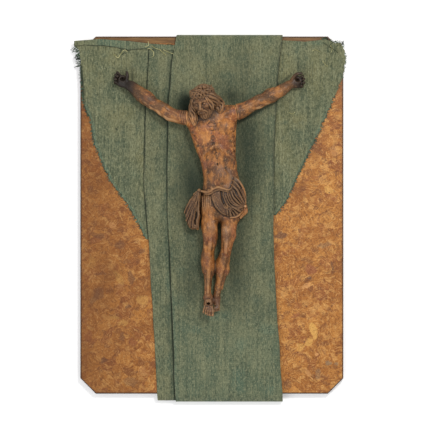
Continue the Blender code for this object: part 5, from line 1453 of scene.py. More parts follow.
def wear(points):
    """1 where the wood is worn light: along the lower side of the arms, and at a few places."""
    worn = 0.9 * spots(points, WORN_SPOTS)
    for across, down, size, strength in LIGHT_PATCHES:
        worn = np.maximum(worn, strength * spots(points, ((across, down, size),)))
    reach = np.abs(points[:, 0] - TRUNK_MIDDLE)
    for line, first, last in ((RIGHT_ARM, 1.2, 6.5), (LEFT_ARM, 1.5, 8.0)):
        side, where = beside_line(points, line[:, :2])
        shown = (
            smooth_share(where, first - 0.4, first + 0.4)
            * (1 - smooth_share(where, last - 0.4, last + 0.6))
        )
        patchy = smooth_share(cloud(points[:, 0] + points[:, 2], points[:, 1], 4.0, 71), -0.35, 0.45)
        below = smooth_share(side, 3.2, 5.0)
        line_wear = 0.8 * below * shown * (0.15 + 0.85 * patchy) * (reach > ARM_WORN_FROM)
        worn = np.maximum(worn, line_wear)
    return worn


def ruddiness(points):
    """1 where the wood is redder: in patches over the knees, the flank and the forearms."""
    patches = smooth_share(cloud(points[:, 0] + 0.6 * points[:, 2], points[:, 1], 9.0, 72), 0.1, 0.6)
    return np.maximum(
        patches, spots(points, ((209.5, 240, 6.0), (229, 150, 6.0), (208, 262, 6.0), (150, 99, 7.0)))
    )


def darkness(points):
    """1 on the hands, which are nearly black, fading out along the forearms."""
    across = points[:, 0] + SHEET_MIDDLE[0]
    right = 1 - smooth_share(across, 125, 146)
    left = 0.85 * smooth_share(across, 286, 299)
    return np.maximum(right, left)


def whittle(data, points):
    """Gives the carving the small unevenness of a knife: a gentle bend of every line and shallow cuts."""
    normals = np.empty(points.size)
    data.vertices.foreach_get("normal", normals)
    normals = normals.reshape(-1, 3)
    u = points[:, 0] + 0.7 * points[:, 2]
    v = points[:, 1] - 0.6 * points[:, 2]
    moved = points.copy()
    moved[:, 0] += BEND * cloud(u, v, 5.0, 81)
    moved[:, 1] += BEND * cloud(u, v, 5.0, 82)
    cuts = 0.6 * cloud(u, v, 2.6, 83) + 0.4 * cloud(u, v, 1.3, 84)
    moved += (CUT_DEPTH * cuts)[:, None] * normals
    data.vertices.foreach_set("co", (moved * MM).reshape(-1))


def paint(data, name, channels):
    """A colour attribute from up to four lists of numbers, one for each vertex."""
    layer = np.ones((len(data.vertices), 4), np.float32)
    for k, channel in enumerate(channels):
        layer[:, k] = np.ravel(channel)
    data.attributes.new(name, "FLOAT_COLOR", "POINT").data.foreach_set("color", layer.reshape(-1))


def carve(clay, name, material, replaced):
    data = clay.mesh(name)
    largest_piece(data)
    rough = bpy.data.objects.new(name + "_rough", data)
    bpy.context.scene.collection.objects.link(rough)
    fewer = rough.modifiers.new("fewer", "DECIMATE")
    fewer.ratio = min(1.0, TRIANGLES[name] / (2 * len(data.polygons)))
    bpy.context.view_layer.update()
    made = bpy.data.meshes.new_from_object(rough.evaluated_get(bpy.context.evaluated_depsgraph_get()))
    made.name = name
    bpy.data.objects.remove(rough)
    bpy.data.meshes.remove(data)
    points = np.empty(3 * len(made.vertices))
    made.vertices.foreach_get("co", points)
    points = points.reshape(-1, 3) / MM
    cells = np.clip(np.round((points - clay.low) / clay.cell).astype(int), 0, clay.count - 1)
    depth = np.clip(clay.depth, -3, 3)
    exact = depth[tuple(cells.T)]
    # How far each place stands out of its neighbours or sinks into them; the wood look paints shade and
    # patina into the hollows from these.
    proud, deep = (
        np.clip(0.5 + gain * (blurred(depth, round(reach / clay.cell))[tuple(cells.T)] - exact), 0, 1)
        for reach, gain in ((0.8, 1.1), (2.8, 0.35))
    )
    normals = np.empty(points.size)
    made.vertices.foreach_get("normal", normals)
    facing = smooth_share(normals.reshape(-1, 3)[:, 2], 0.0, 0.4)
    paint(made, "tone", (proud, deep, dullness_and_shade(points, facing), darkness(points)))
    paint(made, "wear", (wear(points) * facing, ruddiness(points)))
    whittle(made, points)
    return add(name, made, material, replaced)


def largest_piece(data):
    """Leaves only the biggest connected piece of a mesh."""
    work = bmesh.new()
    work.from_mesh(data)
    seen = set()
    pieces = []
    for vert in work.verts:
        if vert in seen:
            continue
        piece = [vert]
        seen.add(vert)
        for known in piece:
            for edge in known.link_edges:
                other = edge.other_vert(known)
                if other not in seen:
                    seen.add(other)
                    piece.append(other)
        pieces.append(piece)
    keep = max(pieces, key=len)
    loose = [vert for piece in pieces if piece is not keep for vert in piece]
    bmesh.ops.delete(work, geom=loose, context="VERTS")
    work.to_mesh(data)
    work.free()


def crown_mark(angle, reach):
    """A place in the oval on the crown, in mm across and down."""
    across = CROWN_ACROSS + CROWN_WIDE * reach * math.cos(angle)
    return across, CROWN_DOWN + CROWN_HIGH * reach * math.sin(angle)


def crown_strands(clay):
    """Short strands over the crown of the head, above the wreath."""
    draw = np.random.default_rng(91)
    for _ in range(CROWN_STRANDS):
        angle = draw.uniform(0, 2 * math.pi)
        inner = draw.uniform(0.5, 7.0)
        reach = draw.uniform(2.2, 4.2)
        bend = draw.normal(0, 0.4)
        marks = [crown_mark(angle + bend * t, inner + t * reach) for t in (0, 0.5, 1)]
        heights = [clay.front(*at(across, down, 0)[:2]) or 0 for across, down in marks]
        if min(heights) > HEAD_LEVEL and max(down for _, down in marks) < CROWN_END:
            drawn(clay, marks, (0.3, 0.55, 0.25), 0.3, 0.2, False, 8)


def model_body():
    body = Clay(at(180, 322, 12.4), at(254, 78, 56), CELL)
    shape_trunk(body)
    shape_legs(body)
    # The outer side of the left leg runs on smoothly below the thigh and below the calf.
    body.join(bar(at(231.6, 236, 27.6), at(227.6, 254, 24.5), 2.8, 2.4), 3.0)
    body.join(bar(at(225.4, 270, 21.8), at(221.3, 288, 20.6), 2.4, 1.9), 2.6)
    shape_feet(body)
    shape_cloth(body)
    shape_head(body)
    shape_hair(body)
    shape_wreath(body)
    crown_strands(body)
    # The nail hole in the front foot is worn wide.
    body.cut(bar(at(208.5, 303.2, 33), at(208.5, 303.4, 25.5), 1.6, 1.3), 0.6)
    for joint, outward in ((RIGHT_JOINT, RIGHT_OUTWARD), (LEFT_JOINT, LEFT_OUTWARD)):
        body.cut(beyond(joint - outward * JOINT_GAP / 2, outward, 9.5))
    return body


def model_arm(side):
    if side == "right":
        low, high = at(108, 128, 12.4), at(198, 66, 36)
        joints, joint, outward = RIGHT_ARM, RIGHT_JOINT, RIGHT_OUTWARD
    else:
        low, high = at(228, 124, 12.4), at(310, 66, 36)
        joints, joint, outward = LEFT_ARM, LEFT_JOINT, LEFT_OUTWARD
    arm = Clay(low, high, CELL)
    limb(arm, joints)
    shape_shoulder(arm, side)
    shape_hand(arm, side)
    arm.cut(beyond(joint + outward * JOINT_GAP / 2, -outward, 14))
    return arm


# The cloth.

RUNNER_LEFT = np.array(
    ((34, 177), (62, 172), (100, 168.6), (150, 167.6), (209, 167.8), (259, 170), (402, 175.5))
)
RUNNER_RIGHT = np.array(
    ((34, 283), (62, 279), (100, 276), (150, 274), (209, 273.4), (259, 274), (402, 282.8))
)
STRIP_LEFT = np.array(
    ((46, 149.2), (88, 147), (123, 145), (186, 144), (218, 146.5), (245, 148.8), (402, 157.6))
)
STRIP_RIGHT = 183.0
LEFT_WING_LEFT = np.array(
    ((41, 73.6), (45.5, 73.6), (49, 77.6), (57, 79.6), (67, 80.6), (100, 83.4), (123, 91), (140, 93.5),
     (158, 100), (180, 110), (208, 130), (239.5, 146.5))
)
LEFT_WING_HIDDEN = np.array(((41, 186.0), (200, 186.0), (239.5, 160.0)))
LEFT_WING_TOP = np.array(((75, 41.3), (100, 39.6), (130, 41.8), (150, 44.2), (177, 45.8), (186, 46.0)))
LEFT_HEM = np.array(
    ((73.5, 45.6), (87, 44.6), (100, 45.4), (115, 47), (128, 49.8), (145, 48.8), (177, 50.5), (186, 51))
)
RIGHT_WING_RIGHT = np.array(
    (
        (43, 342.6), (57, 345.7), (70, 344), (80, 341), (104, 331), (130, 320), (173, 299), (202, 286),
        (215, 276)
    )
)
RIGHT_WING_HIDDEN = np.array(((43, 262.0), (215, 262.0)))
RIGHT_WING_TOP = np.array(
    ((262, 39.7), (283, 39.8), (305, 41.2), (315, 40.2), (326, 38.8), (335, 42.6), (346, 43.2))
)


def edge_at(down, edge):
    return np.interp(down, edge[:, 0], edge[:, 1])


def turned(down, level, reach, outward, count=14):
    """The half round in which a cloth goes from the board's face to its back, past the edge at down."""
    centre = (level + FLAP_LEVEL) / 2
    radius = (level - FLAP_LEVEL) / 2
    turns = [math.pi * k / count for k in range(count + 1)]
    return [(down + outward * reach * math.sin(t), centre + radius * math.cos(t)) for t in turns]


def crease(x, y, first, last, width, height):
    """A soft ridge along a line on the sheet, or a valley where height is below nought."""
    first = np.asarray(first, float)
    last = np.asarray(last, float)
    along = last - first
    length = np.linalg.norm(along)
    along = along / length
    run = ((x - first[0]) * along[0] + (y - first[1]) * along[1]) / length
    off = (x - first[0]) * along[1] - (y - first[1]) * along[0]
    fade = smooth_share(run, -0.15, 0.2) * (1 - smooth_share(run, 0.8, 1.15))
    return height * fade * np.exp(-((off / width) ** 2))


def cloth_mesh(name, across, down, up, stain_and_shade, yellow, teal):
    """A sheet from grids of the places of its middle, and of how dark with stains and painted shade, how
    yellowed and how teal it is.
    """
    rows, columns = across.shape
    points = np.stack([across - SHEET_MIDDLE[0], SHEET_MIDDLE[1] - down, up], -1).reshape(-1, 3) * MM
    corner = (np.arange(rows - 1)[:, None] * columns + np.arange(columns - 1)).reshape(-1)
    faces = np.stack([corner, corner + columns, corner + columns + 1, corner + 1], 1)
    data = bpy.data.meshes.new(name)
    data.from_pydata(points.tolist(), [], faces.tolist())
    paint(data, "tone", [np.clip(grid + 0 * across, 0, 1) for grid in (stain_and_shade, yellow, teal)])
    return data


def near(across, down, x, y, wide, high):
    """1 at a place on the sheet, fading out over these distances."""
    return np.exp(-((across - x) / wide) ** 2 - ((down - y) / high) ** 2)


def thicken(piece):
    shell = piece.modifiers.new("thickness", "SOLIDIFY")
    shell.thickness = MM * CLOTH_THICKNESS
    shell.offset = 0


def along_path(path, step):
    """Down and up at even steps along a path of marks."""
    path = np.asarray(path, float)
    lengths = np.concatenate([[0], np.cumsum(np.linalg.norm(np.diff(path, axis=0), axis=1))])
    run = np.linspace(0, lengths[-1], int(lengths[-1] / step) + 1)
    return np.interp(run, lengths, path[:, 0]), np.interp(run, lengths, path[:, 1]), lengths[-1]


def rolled_edges(off_left, off_right, lift):
    """How far a cloth rises near its long edges, where it is turned under, before the edge drops."""
    edge = np.minimum(off_left, off_right)
    return lift * (np.exp(-((edge - 1.6) / 1.5) ** 2)) * smooth_share(edge, -0.3, 1.2)


def runner_sheet():
    path = (
        [(66.0, FLAP_LEVEL), (44.0, FLAP_LEVEL)]
        + turned(BOARD_TOP + 0.5, RUNNER_LEVEL, 1.9, -1)[::-1]
        + turned(BOARD_BOTTOM - 2.2, RUNNER_LEVEL, 10.0, 1)
        + [(364.0, FLAP_LEVEL)]
    )
    down, up, length = along_path(path, CLOTH_STEP)
    columns = 86
    u = np.linspace(0, 1, columns)[None, :]
    down = down[:, None] + 0 * u
    up = up[:, None] + 0 * u
    left = edge_at(down, RUNNER_LEFT) + 0.5 * cloud(down, 0 * down, 21, 3)
    right = edge_at(down, RUNNER_RIGHT) + 0.5 * cloud(down, 0 * down, 23, 4)
    across = left + (right - left) * u
    face = smooth_share(up, 10.5, 12.0)
    lift = 0.25 + 0.34 * cloud(across, down, 26, 5) + 0.18 * cloud(across, down, 9, 6)
    lift = lift + rolled_edges(across - left, right - across, 0.55)
    lift = lift + crease(across, down, (196, 50), (193, 330), 5.0, 0.35)
    lift = lift + crease(across, down, (252, 60), (256, 380), 6.0, 0.3)
    # Painted shade darkens the cloth beside the trunk and legs, beside the loincloth and left and right of
    # the head; painted shadow lines run along the right edge and below the left arm.
    stain_and_shade = 0.5 * near(across, down, 247, 155, 17, 62) + 0.42 * near(across, down, 188, 175, 15, 60)
    stain_and_shade = stain_and_shade + 0.42 * near(across, down, 236, 262, 15, 48) + 0.3 * near(across, down, 194, 275, 12, 48)
    stain_and_shade = stain_and_shade + 0.6 * near(across, down, 185, 104, 8, 11) + 0.12 * cloud(across, down, 24, 61)
    stain_and_shade = stain_and_shade + 0.4 * near(across, down, 196, 190, 9, 20) + 0.4 * near(across, down, 231, 96, 9, 7)
    stain_and_shade = stain_and_shade + 0.3 * near(right - across, down, 0.6, 200, 1.1, 400)
    stain_and_shade = stain_and_shade + 0.16 - 0.1 * smooth_share(down, 300, 350) + 0.5 * near(across, down, 184.5, 102, 6, 9)
    stain_and_shade = stain_and_shade + crease(across, down, (240, 121.4), (277, 101.4), 1.3, 0.45)
    yellow = 0.45 * cloud(across, down, 17, 62) + 0.25 * near(across, down, 200, 75, 30, 30)
    yellow = yellow + 0.9 * near(across - left, down, 0.5, 200, 0.7, 400)
    teal = 0.35 * smooth_share(cloud(across, down, 15, 63), 0.2, 0.8) + 0.4 * smooth_share(down, 290, 350)
    teal = teal + 0.4 * near(across - left, down, 1.0, 200, 1.6, 400)
    sheet = cloth_mesh("runner_cloth", across, down, up + face * lift, stain_and_shade, yellow, teal)
    return sheet, (RUNNER_WIDTH, MM * length)


def strip_sheet():
    path = [
        (49.6, STRIP_LEVEL), (200, STRIP_LEVEL), (240, STRIP_LEVEL - 0.3), (270, STRIP_LEVEL - 0.9),
        (320, WING_LEVEL + 0.1)
    ]
    path = path + turned(BOARD_BOTTOM - 1.6, WING_LEVEL + 0.1, 8.2, 1) + [(368.0, FLAP_LEVEL)]
    down, up, length = along_path(path, CLOTH_STEP)
    u = np.linspace(0, 1, 30)[None, :]
    down = down[:, None] + 0 * u
    up = up[:, None] + 0 * u
    left = edge_at(down, STRIP_LEFT) + 0.4 * cloud(down, 0 * down, 19, 8)
    inner = RUNNER_LEFT[-1, 1] - 10.0
    near_end = (down > BOARD_BOTTOM - 6) | (up < 5)
    right = np.where(near_end, inner + (STRIP_RIGHT - inner) * np.clip((up - 4) / 3, 0, 1), STRIP_RIGHT)
    across = left + (right - left) * u
    face = (
        smooth_share(up, 9.2, 10.1)
        * (1 - smooth_share(across, RUNNER_LEFT[3, 1] - 1, RUNNER_LEFT[3, 1] + 3))
    )
    lift = 0.05 + 0.18 * cloud(across, down, 17, 9) + 0.1 * cloud(across, down, 7, 10)
    lift = lift + rolled_edges(across - left, 99 + 0 * across, 0.45)
    runner_edge = edge_at(down, RUNNER_LEFT)
    beside = smooth_share(across, runner_edge - 7, runner_edge - 3)
    # Painted shadow falls under the right arm and along its lower edge, and a dark line of painted shadow
    # lies beside the runner's edge.
    stain_and_shade = (
        0.09 + 0.26 * beside + 0.12 * cloud(across, down, 22, 64)
        + 0.2 * near(across, down, 160, 118, 14, 12)
    )
    stain_and_shade = stain_and_shade + crease(across, down, (146, 107.5), (172, 122.5), 1.6, 0.5)
    stain_and_shade = stain_and_shade + 0.85 * smooth_share(across, runner_edge - 1.7, runner_edge - 0.6)
    yellow = 0.4 * cloud(across, down, 15, 65) * (1 - beside)
    teal = 0.3 * beside + 0.25 * smooth_share(cloud(across, down, 12, 66), 0.2, 0.8)
    sheet = cloth_mesh("strip_cloth", across, down, up + face * lift, stain_and_shade, yellow, teal)
    return sheet, (STRIP_WIDTH, MM * length)


def left_pucker(x, y):
    """Creases in the cloth round the nailed right hand."""
    rise = crease(x, y, (127.5, 84), (127.0, 56), 3.2, 1.1)
    rise = rise + crease(x, y, (132.6, 86), (132.2, 66), 1.1, -0.5)
    rise = rise + crease(x, y, (136.5, 86), (138.5, 60), 2.6, 0.7)
    rise = rise + crease(x, y, (114.0, 78), (104.0, 58), 3.0, 0.5)
    rise = rise + crease(x, y, (112.0, 86), (98.0, 92), 3.0, 0.35)
    rise = rise + crease(x, y, (120.0, 92), (112.0, 120), 3.4, 0.4)
    return rise


def right_pucker(x, y):
    """Creases in the cloth round the nailed left hand."""
    rise = crease(x, y, (298.4, 76), (298.4, 56), 1.0, -0.5)
    rise = rise + crease(x, y, (294.6, 76), (293.0, 54), 2.6, 0.8)
    rise = rise + crease(x, y, (303.0, 74), (306.5, 56), 3.0, 1.2)
    rise = rise + crease(x, y, (309.5, 76), (318.0, 62), 3.2, 0.8)
    rise = rise + crease(x, y, (306.0, 88), (318.0, 100), 3.2, 0.4)
    return rise


def wing_grid(left_edge, right_edge, top, first, last, columns, ragged_left, ragged_right):
    levels = np.linspace(first, last, int((last - first) / CLOTH_STEP) + 1)[:, None]
    u = np.linspace(0, 1, columns)[None, :]
    left = edge_at(levels, left_edge)
    right = edge_at(levels, right_edge)
    if ragged_left:
        left = left + 0.9 * cloud(levels, 0 * levels, 3.4, 21) + 0.45 * cloud(levels, 0 * levels, 1.3, 22)
    if ragged_right:
        right = right + 0.9 * cloud(levels, 0 * levels, 3.4, 23) + 0.45 * cloud(levels, 0 * levels, 1.3, 24)
    across = left + (right - left) * u
    down = levels + (edge_at(across, top) - first) * np.clip(1 - (levels - first) / 40, 0, 1) ** 3
    return across, down


def left_wing_sheet():
    across, down = wing_grid(
        LEFT_WING_LEFT, LEFT_WING_HIDDEN, LEFT_WING_TOP, 41.0, 239.5, 96, True, False
    )
    up = WING_LEVEL + 0 * across
    strip_edge = edge_at(down, STRIP_LEFT)
    shown = 1 - smooth_share(across, strip_edge - 2.5, strip_edge + 0.5)
    lift = (
        0.2 + 0.22 * cloud(across, down, 19, 31) + 0.1 * cloud(across, down, 8, 32)
        + left_pucker(across, down)
    )
    up = up + shown * np.maximum(lift, -0.1)
    up = up - DROOP * np.clip(BOARD_LEFT - across, 0, 9) ** 2
    # The top is turned over towards the viewer as a narrow hem.
    hem_across = across[0]
    edge = down[0]
    hem = edge_at(hem_across, LEFT_HEM) + 0.5 * cloud(hem_across, 0 * hem_across, 4.0, 33)
    base = up[0]
    rows = []
    for share in np.linspace(1, 0, 6):
        flat = 1.05 + 0.35 * smooth_share(share, 0.0, 0.6) * (1 - 0.8 * smooth_share(share, 0.8, 1.0))
        rows.append((hem_across, edge + (hem - edge) * share, base + flat))
    for turn in np.linspace(0.15, 0.85, 4) * math.pi:
        rows.append((hem_across, edge - 0.75 * math.sin(turn), base + 0.525 + 0.525 * math.cos(turn)))
    edge_gap = across - edge_at(down, LEFT_WING_LEFT)
    stain_and_shade = (
        0.8 * (1 - smooth_share(edge_gap, 0.8, 2.2)) * smooth_share(down, 60, 66)
        * (1 - smooth_share(down, 98, 106))
    )
    # Painted shadow lies round the right hand, in the crease above it, under the right arm, along the arm's
    # lower edge and beside the strip's edge; the small dark spot is a stain.
    stain_and_shade = stain_and_shade + near(across, down, 116.5, 129, 1.1, 1.1) + 0.25 * near(across, down, 121, 72, 12, 9)
    stain_and_shade = stain_and_shade + 0.5 * near(across, down, 132.3, 76, 1.5, 7) + 0.10 * cloud(across, down, 20, 67)
    stain_and_shade = (
        stain_and_shade + 0.3 * near(across, down, 150, 112, 16, 9)
        + crease(across, down, (126, 88), (149, 110), 1.6, 0.55)
    )
    stain_and_shade = stain_and_shade + 0.85 * smooth_share(across, strip_edge - 1.6, strip_edge - 0.5)
    yellow = 0.30 + 0.45 * cloud(across, down, 16, 68) - 0.3 * near(across, down, 112, 68, 12, 14)
    teal = 0.8 * (1 - smooth_share(edge_gap, 1.0, 4.5)) * smooth_share(down, 96, 108)
    teal = teal + 0.3 * smooth_share(cloud(across, down, 11, 69), 0.35, 0.9)
    tones = [stain_and_shade, yellow, teal]
    hem_teal = (
        0.15 + 0.55 * smooth_share(hem_across, 92, 100) * (1 - 0.6 * smooth_share(hem_across, 118, 128))
    )
    hem_rows = [np.tile(tone, (len(rows), 1)) for tone in (0 * hem_across, 0.2 + 0 * hem_across, hem_teal)]
    # A line of painted shadow runs along the hem's lower edge.
    hem_rows[0][0] = 0.75
    grid = [
        np.vstack([np.array([row[k] for row in rows]), full]) for k, full in enumerate((across, down, up))
    ]
    tones = [np.vstack([hem_part, tone]) for hem_part, tone in zip(hem_rows, tones)]
    return cloth_mesh("left_wing_cloth", *grid, *tones)


def right_wing_sheet():
    across, down = wing_grid(
        RIGHT_WING_HIDDEN, RIGHT_WING_RIGHT, RIGHT_WING_TOP, 43.0, 215.0, 72, False, True
    )
    runner_edge = edge_at(down, RUNNER_RIGHT)
    shown = smooth_share(across, runner_edge - 0.5, runner_edge + 3.0)
    lift = (
        0.2 + 0.22 * cloud(across, down, 19, 41) + 0.1 * cloud(across, down, 8, 42)
        + right_pucker(across, down)
    )
    up = WING_LEVEL + shown * np.maximum(lift, -0.1)
    up = up - DROOP * np.clip(across - BOARD_RIGHT, 0, 9) ** 2
    edge_gap = edge_at(down, RIGHT_WING_RIGHT) - across
    # Painted shadow lies in the crease above the left hand and beside it, under the left arm, along the
    # forearm's upper edge and beside the runner's edge.
    stain_and_shade = 0.5 * near(across, down, 298.6, 66, 1.5, 8) + 0.3 * near(across, down, 307, 69, 6, 7)
    stain_and_shade = stain_and_shade + 0.3 * near(across, down, 281, 104, 12, 10) + 0.12 * cloud(across, down, 19, 73)
    stain_and_shade = stain_and_shade + 0.6 * (1 - smooth_share(across, runner_edge + 0.4, runner_edge + 1.4))
    stain_and_shade = stain_and_shade + 0.5 * (1 - smooth_share(edge_gap, 0.6, 2.0)) * smooth_share(down, 134, 144)
    stain_and_shade = stain_and_shade + crease(across, down, (276, 86.5), (293, 73.5), 1.4, 0.6)
    yellow = 0.32 + 0.45 * cloud(across, down, 15, 74)
    teal = 0.7 * (1 - smooth_share(edge_gap, 1.0, 4.0)) * smooth_share(down, 100, 112)
    teal = (
        teal + 0.3 * smooth_share(cloud(across, down, 11, 75), 0.35, 0.9)
        + 0.5 * near(across, down, 316, 42.5, 14, 3)
    )
    return cloth_mesh("right_wing_cloth", across, down, up, stain_and_shade, yellow, teal)


def tubes(name, lines, radius):
    """Threads as one mesh of thin square tubes. Each line is a list of places in mm."""
    points = []
    faces = []
    for line in lines:
        line = np.asarray(line, float)
        for k, place in enumerate(line):
            ahead = unit(line[min(k + 1, len(line) - 1)] - line[max(k - 1, 0)])
            side = unit(np.cross(ahead, (0, 0, 1)) + 1e-6)
            over = np.cross(side, ahead)
            for turn in range(4):
                angle = math.pi / 2 * turn + math.pi / 4
                points.append(MM * (place + radius * (math.cos(angle) * side + math.sin(angle) * over)))
        start = len(points) - 4 * len(line)
        for k in range(len(line) - 1):
            for turn in range(4):
                a = start + 4 * k + turn
                b = start + 4 * k + (turn + 1) % 4
                faces.append((a, b, b + 4, a + 4))
        faces.append((start + 3, start + 2, start + 1, start))
        end = start + 4 * (len(line) - 1)
        faces.append((end, end + 1, end + 2, end + 3))
    data = bpy.data.meshes.new(name)
    data.from_pydata([tuple(p) for p in points], [], faces)
    return data


def fringe(edge, outward, count, reach, seed, level, spread=0.55):
    """Frayed ends along an edge: edge is a list of places across and down, in order."""
    draw = np.random.default_rng(seed)
    edge = np.asarray(edge, float)
    lengths = np.concatenate([[0], np.cumsum(np.linalg.norm(np.diff(edge, axis=0), axis=1))])
    lines = []
    for run in np.sort(draw.uniform(0, lengths[-1], count)):
        across = np.interp(run, lengths, edge[:, 0])
        down = np.interp(run, lengths, edge[:, 1])
        ahead = unit((np.interp(run + 1, lengths, edge[:, 0]) - np.interp(run - 1, lengths, edge[:, 0]),
                      np.interp(run + 1, lengths, edge[:, 1]) - np.interp(run - 1, lengths, edge[:, 1])))
        out = np.array((ahead[1], -ahead[0])) * outward
        lean = draw.normal(0, spread)
        heading = unit(out + lean * ahead)
        long = reach * draw.uniform(0.35, 1.0) ** 1.5
        curl = draw.normal(0, 0.5)
        line = []
        for k in range(6):
            t = k / 5
            step = -1.2 + (long + 1.2) * t
            side = curl * long * t * t
            spot = np.array((across, down)) + heading * step + np.array((-heading[1], heading[0])) * side
            over = spot[0] < BOARD_LEFT or spot[0] > BOARD_RIGHT
            line.append(at(spot[0], spot[1], level - (0.5 * t * t if not over else 1.2 * t * t)))
        lines.append(line)
    return lines


def loose_thread(marks, level, waves=0.0):
    """A thread that lies on the cloth through these places."""
    marks = np.asarray(marks, float)
    run = np.linspace(0, 1, 8 * len(marks))
    places = np.linspace(0, 1, len(marks))
    across = curve(run, places, marks[:, 0])
    down = curve(run, places, marks[:, 1])
    return [at(a, d, level + waves * math.sin(9 * t)) for a, d, t in zip(across, down, run)]


def add_threads(name, lines, radius, material):
    return add(name, tubes(name, lines, radius), material)


# Loose threads by the hem and on the right wing. Pale ones on the left carry their height over the wing.
PALE_THREADS = (
    (0.95, ((113.4, 53.6), (117.6, 57.4), (120.6, 53.4), (124.2, 49.6), (127.2, 51.2))),
    (1.8, ((148, 41.2), (148.2, 45.0), (144.8, 46.6))),
    (1.8, ((147.4, 48.2), (150.6, 48.8), (153.2, 51.6), (153.6, 54.6), (152.2, 56.8))),
    (2.2, ((160, 50.0), (163, 52.2), (166, 55.0))),
    (2.2, ((163, 49.2), (168, 51.6), (175, 54.2))),
    (2.2, ((151.5, 45.5), (156, 48.2), (161, 49.6))),
)
DARK_THREADS = (
    ((119.6, 52.6), (122.4, 48.6), (126.0, 48.0), (128.4, 50.6)),
    ((121.4, 54.8), (124.0, 52.4), (126.4, 53.2)),
    ((151.6, 43.2), (156, 45.8), (160.4, 44.4)),
    ((163, 46.4), (168.5, 43.6), (173, 45.4)),
)
CORNER_THREADS = (
    ((323, 42), (328, 45.5), (327.5, 50.5), (331.5, 52)),
    ((333.5, 41.5), (329.5, 46), (334.5, 49.5), (333, 54)),
    ((338.5, 44.5), (335, 48), (338, 52.5)),
    ((340.5, 45.5), (342.6, 42.4), (344.4, 40.2)),
)
RIGHT_PALE_THREADS = (
    ((312, 50.6), (316, 49.4), (320.5, 51.8)),
    ((322.4, 60.4), (325.2, 63.6), (328, 66.2)),
    ((330.2, 44.2), (332.4, 48.4), (331, 52.6)),
    ((289, 112.4), (292.6, 113.6), (295.8, 111.6)),
)


# The picture is as many mm wide as pixels. The camera is far off, and its scale holds at FOCUS_LEVEL, in m.
PICTURE_WIDTH = 432
CAMERA_HEIGHT = 4.0
FOCUS_LEVEL = 0.02
SENSOR = 36
SKY_LIGHT = 0.6
GROUND_GLOW = 0.25
FLOOR_REACH = 6.0
FLOOR_LEVEL = -0.0002


def main():
    body_wood = wood_look("carved wood", 0)
    right_wood = wood_look("carved wood of the right arm", 62)
    left_wood = wood_look("carved wood of the left arm", -60)
    carve(model_body(), "figure_body", body_wood, ("corpus_body",))
    carve(model_arm("right"), "figure_right_arm", right_wood, ("right_arm",))
    carve(model_arm("left"), "figure_left_arm", left_wood, ("left_arm",))

    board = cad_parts["board"]
    board.material_slots[0].material = panel_look()

    green = cloth_look("green cloth")
    mesh, flat = runner_sheet()
    runner = add("runner_cloth", mesh, green, ("runner",))
    mesh, strip_flat = strip_sheet()
    strip = add("strip_cloth", mesh, green, ("side_strip",))
    left_wing = add("left_wing_cloth", left_wing_sheet(), green, ("left_wing",))
    right_wing = add("right_wing_cloth", right_wing_sheet(), green, ("right_wing",))
    for cloth in (runner, strip, left_wing, right_wing):
        thicken(cloth)

    teal_thread = thread_look("frayed teal thread", srgb(98, 124, 104), srgb(56, 80, 68))
    dark_thread = thread_look("dark green thread", srgb(66, 84, 62), srgb(34, 44, 34))
    yellow_thread = thread_look("yellowed thread", srgb(204, 198, 146), srgb(146, 142, 92))
    left_edge = [(edge_at(y, LEFT_WING_LEFT), y) for y in np.arange(66, 239, 2.0)]
    lines = fringe(left_edge, -1, 320, 2.6, 51, WING_LEVEL)
    left_fringe = add_threads("left_wing_fringe", lines, 0.24, teal_thread)
    right_edge = [(edge_at(y, RIGHT_WING_RIGHT), y) for y in np.arange(44, 214, 2.0)]
    lines = fringe(right_edge, 1, 250, 2.4, 53, WING_LEVEL)
    right_fringe = add_threads("right_wing_fringe", lines, 0.24, teal_thread)

    # Dark ends stand out from the left end of the hem and from the right wing's top corner.
    left_end = [(edge_at(y, LEFT_WING_LEFT), y) for y in np.arange(46, 67, 1.0)]
    turned_edge = [(edge_at(y, LEFT_WING_LEFT), y) for y in np.arange(64, 118, 2.0)]
    lines = (
        fringe(left_end, -1, 64, 6.6, 52, WING_LEVEL, 0.22)
        + fringe(turned_edge, -1, 130, 2.6, 56, WING_LEVEL, 0.5)
    )
    corner = [(x, edge_at(x, RIGHT_WING_TOP)) for x in np.arange(322, 345, 1.0)]
    lines += [loose_thread(marks, WING_LEVEL + 1.0, 0.2) for marks in DARK_THREADS]
    left_dark = add_threads("left_dark_threads", lines, 0.3, dark_thread)
    lines = fringe(corner, 1, 70, 3.0, 54, WING_LEVEL + 0.3)
    lines += [loose_thread(marks, WING_LEVEL + 0.9, 0.2) for marks in CORNER_THREADS]
    right_dark = add_threads("right_dark_threads", lines, 0.3, dark_thread)
    lines = [loose_thread(marks, WING_LEVEL + lift, 0.2) for lift, marks in PALE_THREADS]
    stitches = add_threads("loose_threads", lines, 0.36, yellow_thread)
    lines = [loose_thread(marks, WING_LEVEL + 0.9, 0.15) for marks in RIGHT_PALE_THREADS]
    right_pale = add_threads("right_pale_threads", lines, 0.26, yellow_thread)


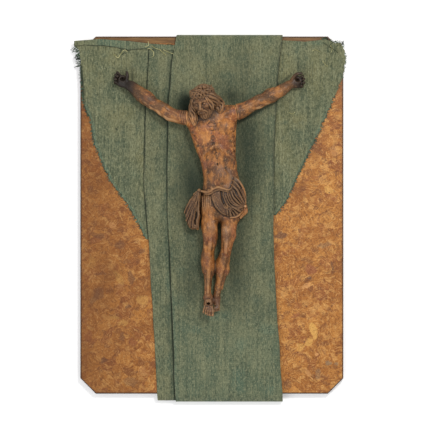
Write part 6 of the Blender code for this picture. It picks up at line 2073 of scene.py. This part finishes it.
def light(name, place, size, power, colour):
    """A round lamp that shines at the sheet's middle."""
    lamp = bpy.data.lights.new(name, "AREA")
    lamp.shape = "DISK"
    lamp.size = size
    lamp.energy = power
    lamp.color = colour
    holder = bpy.data.objects.new(name, lamp)
    holder.location = place
    holder.rotation_mode = "QUATERNION"
    holder.rotation_quaternion = Vector(place).to_track_quat("Z", "Y")
    bpy.context.scene.collection.objects.link(holder)


def studio():
    scene = bpy.context.scene
    scene.view_settings.view_transform = "Standard"
    world = bpy.data.worlds.new("studio")
    world.use_nodes = True
    world.node_tree.nodes["Background"].inputs["Color"].default_value = (1, 1, 1, 1)
    world.node_tree.nodes["Background"].inputs["Strength"].default_value = SKY_LIGHT
    scene.world = world
    light("key", place=(0.38, 0.56, 1.32), size=0.34, power=9.8, colour=(1, 0.985, 0.96))
    light("fill", place=(-0.9, -0.5, 1.3), size=1.2, power=6.0, colour=(0.96, 0.98, 1))
    floor_mesh = bpy.data.meshes.new("floor")
    wide = FLOOR_REACH
    floor_mesh.from_pydata(
        [(-wide, -wide, 0), (wide, -wide, 0), (wide, wide, 0), (-wide, wide, 0)], [], [(0, 1, 2, 3)]
    )
    floor = bpy.data.objects.new("floor", floor_mesh)
    floor.location.z = FLOOR_LEVEL
    paper = Look("white paper", 0.9, 0.1)
    tooth = paper.noise(paper.scaled(3, 3, 3), 2.0, 0.6)
    paper.bump(tooth, 0.02)
    # The ground is lit a little more than the object, so that the shadows on it stay pale.
    paper.set(paper.shader, "Emission Color", (1, 1, 1, 1))
    paper.set(paper.shader, "Emission Strength", GROUND_GLOW)
    floor_mesh.materials.append(
        paper.finish(paper.mix(tooth, (0.93, 0.93, 0.935, 1), (0.95, 0.95, 0.955, 1)))
    )
    scene.collection.objects.link(floor)

    # The camera looks straight down from far off, so that a mm of the object is a pixel of the picture.
    lens = bpy.data.cameras.new("camera")
    lens.sensor_width = SENSOR
    lens.lens = SENSOR * (CAMERA_HEIGHT - FOCUS_LEVEL) / (PICTURE_WIDTH * MM)
    lens.clip_end = 100
    camera = bpy.data.objects.new("camera", lens)
    middle = SHIFT + MM * at(PICTURE_WIDTH / 2, PICTURE_WIDTH / 2, 0)
    camera.location = (middle[0], middle[1], CAMERA_HEIGHT)
    scene.collection.objects.link(camera)
    scene.camera = camera


main()
studio()
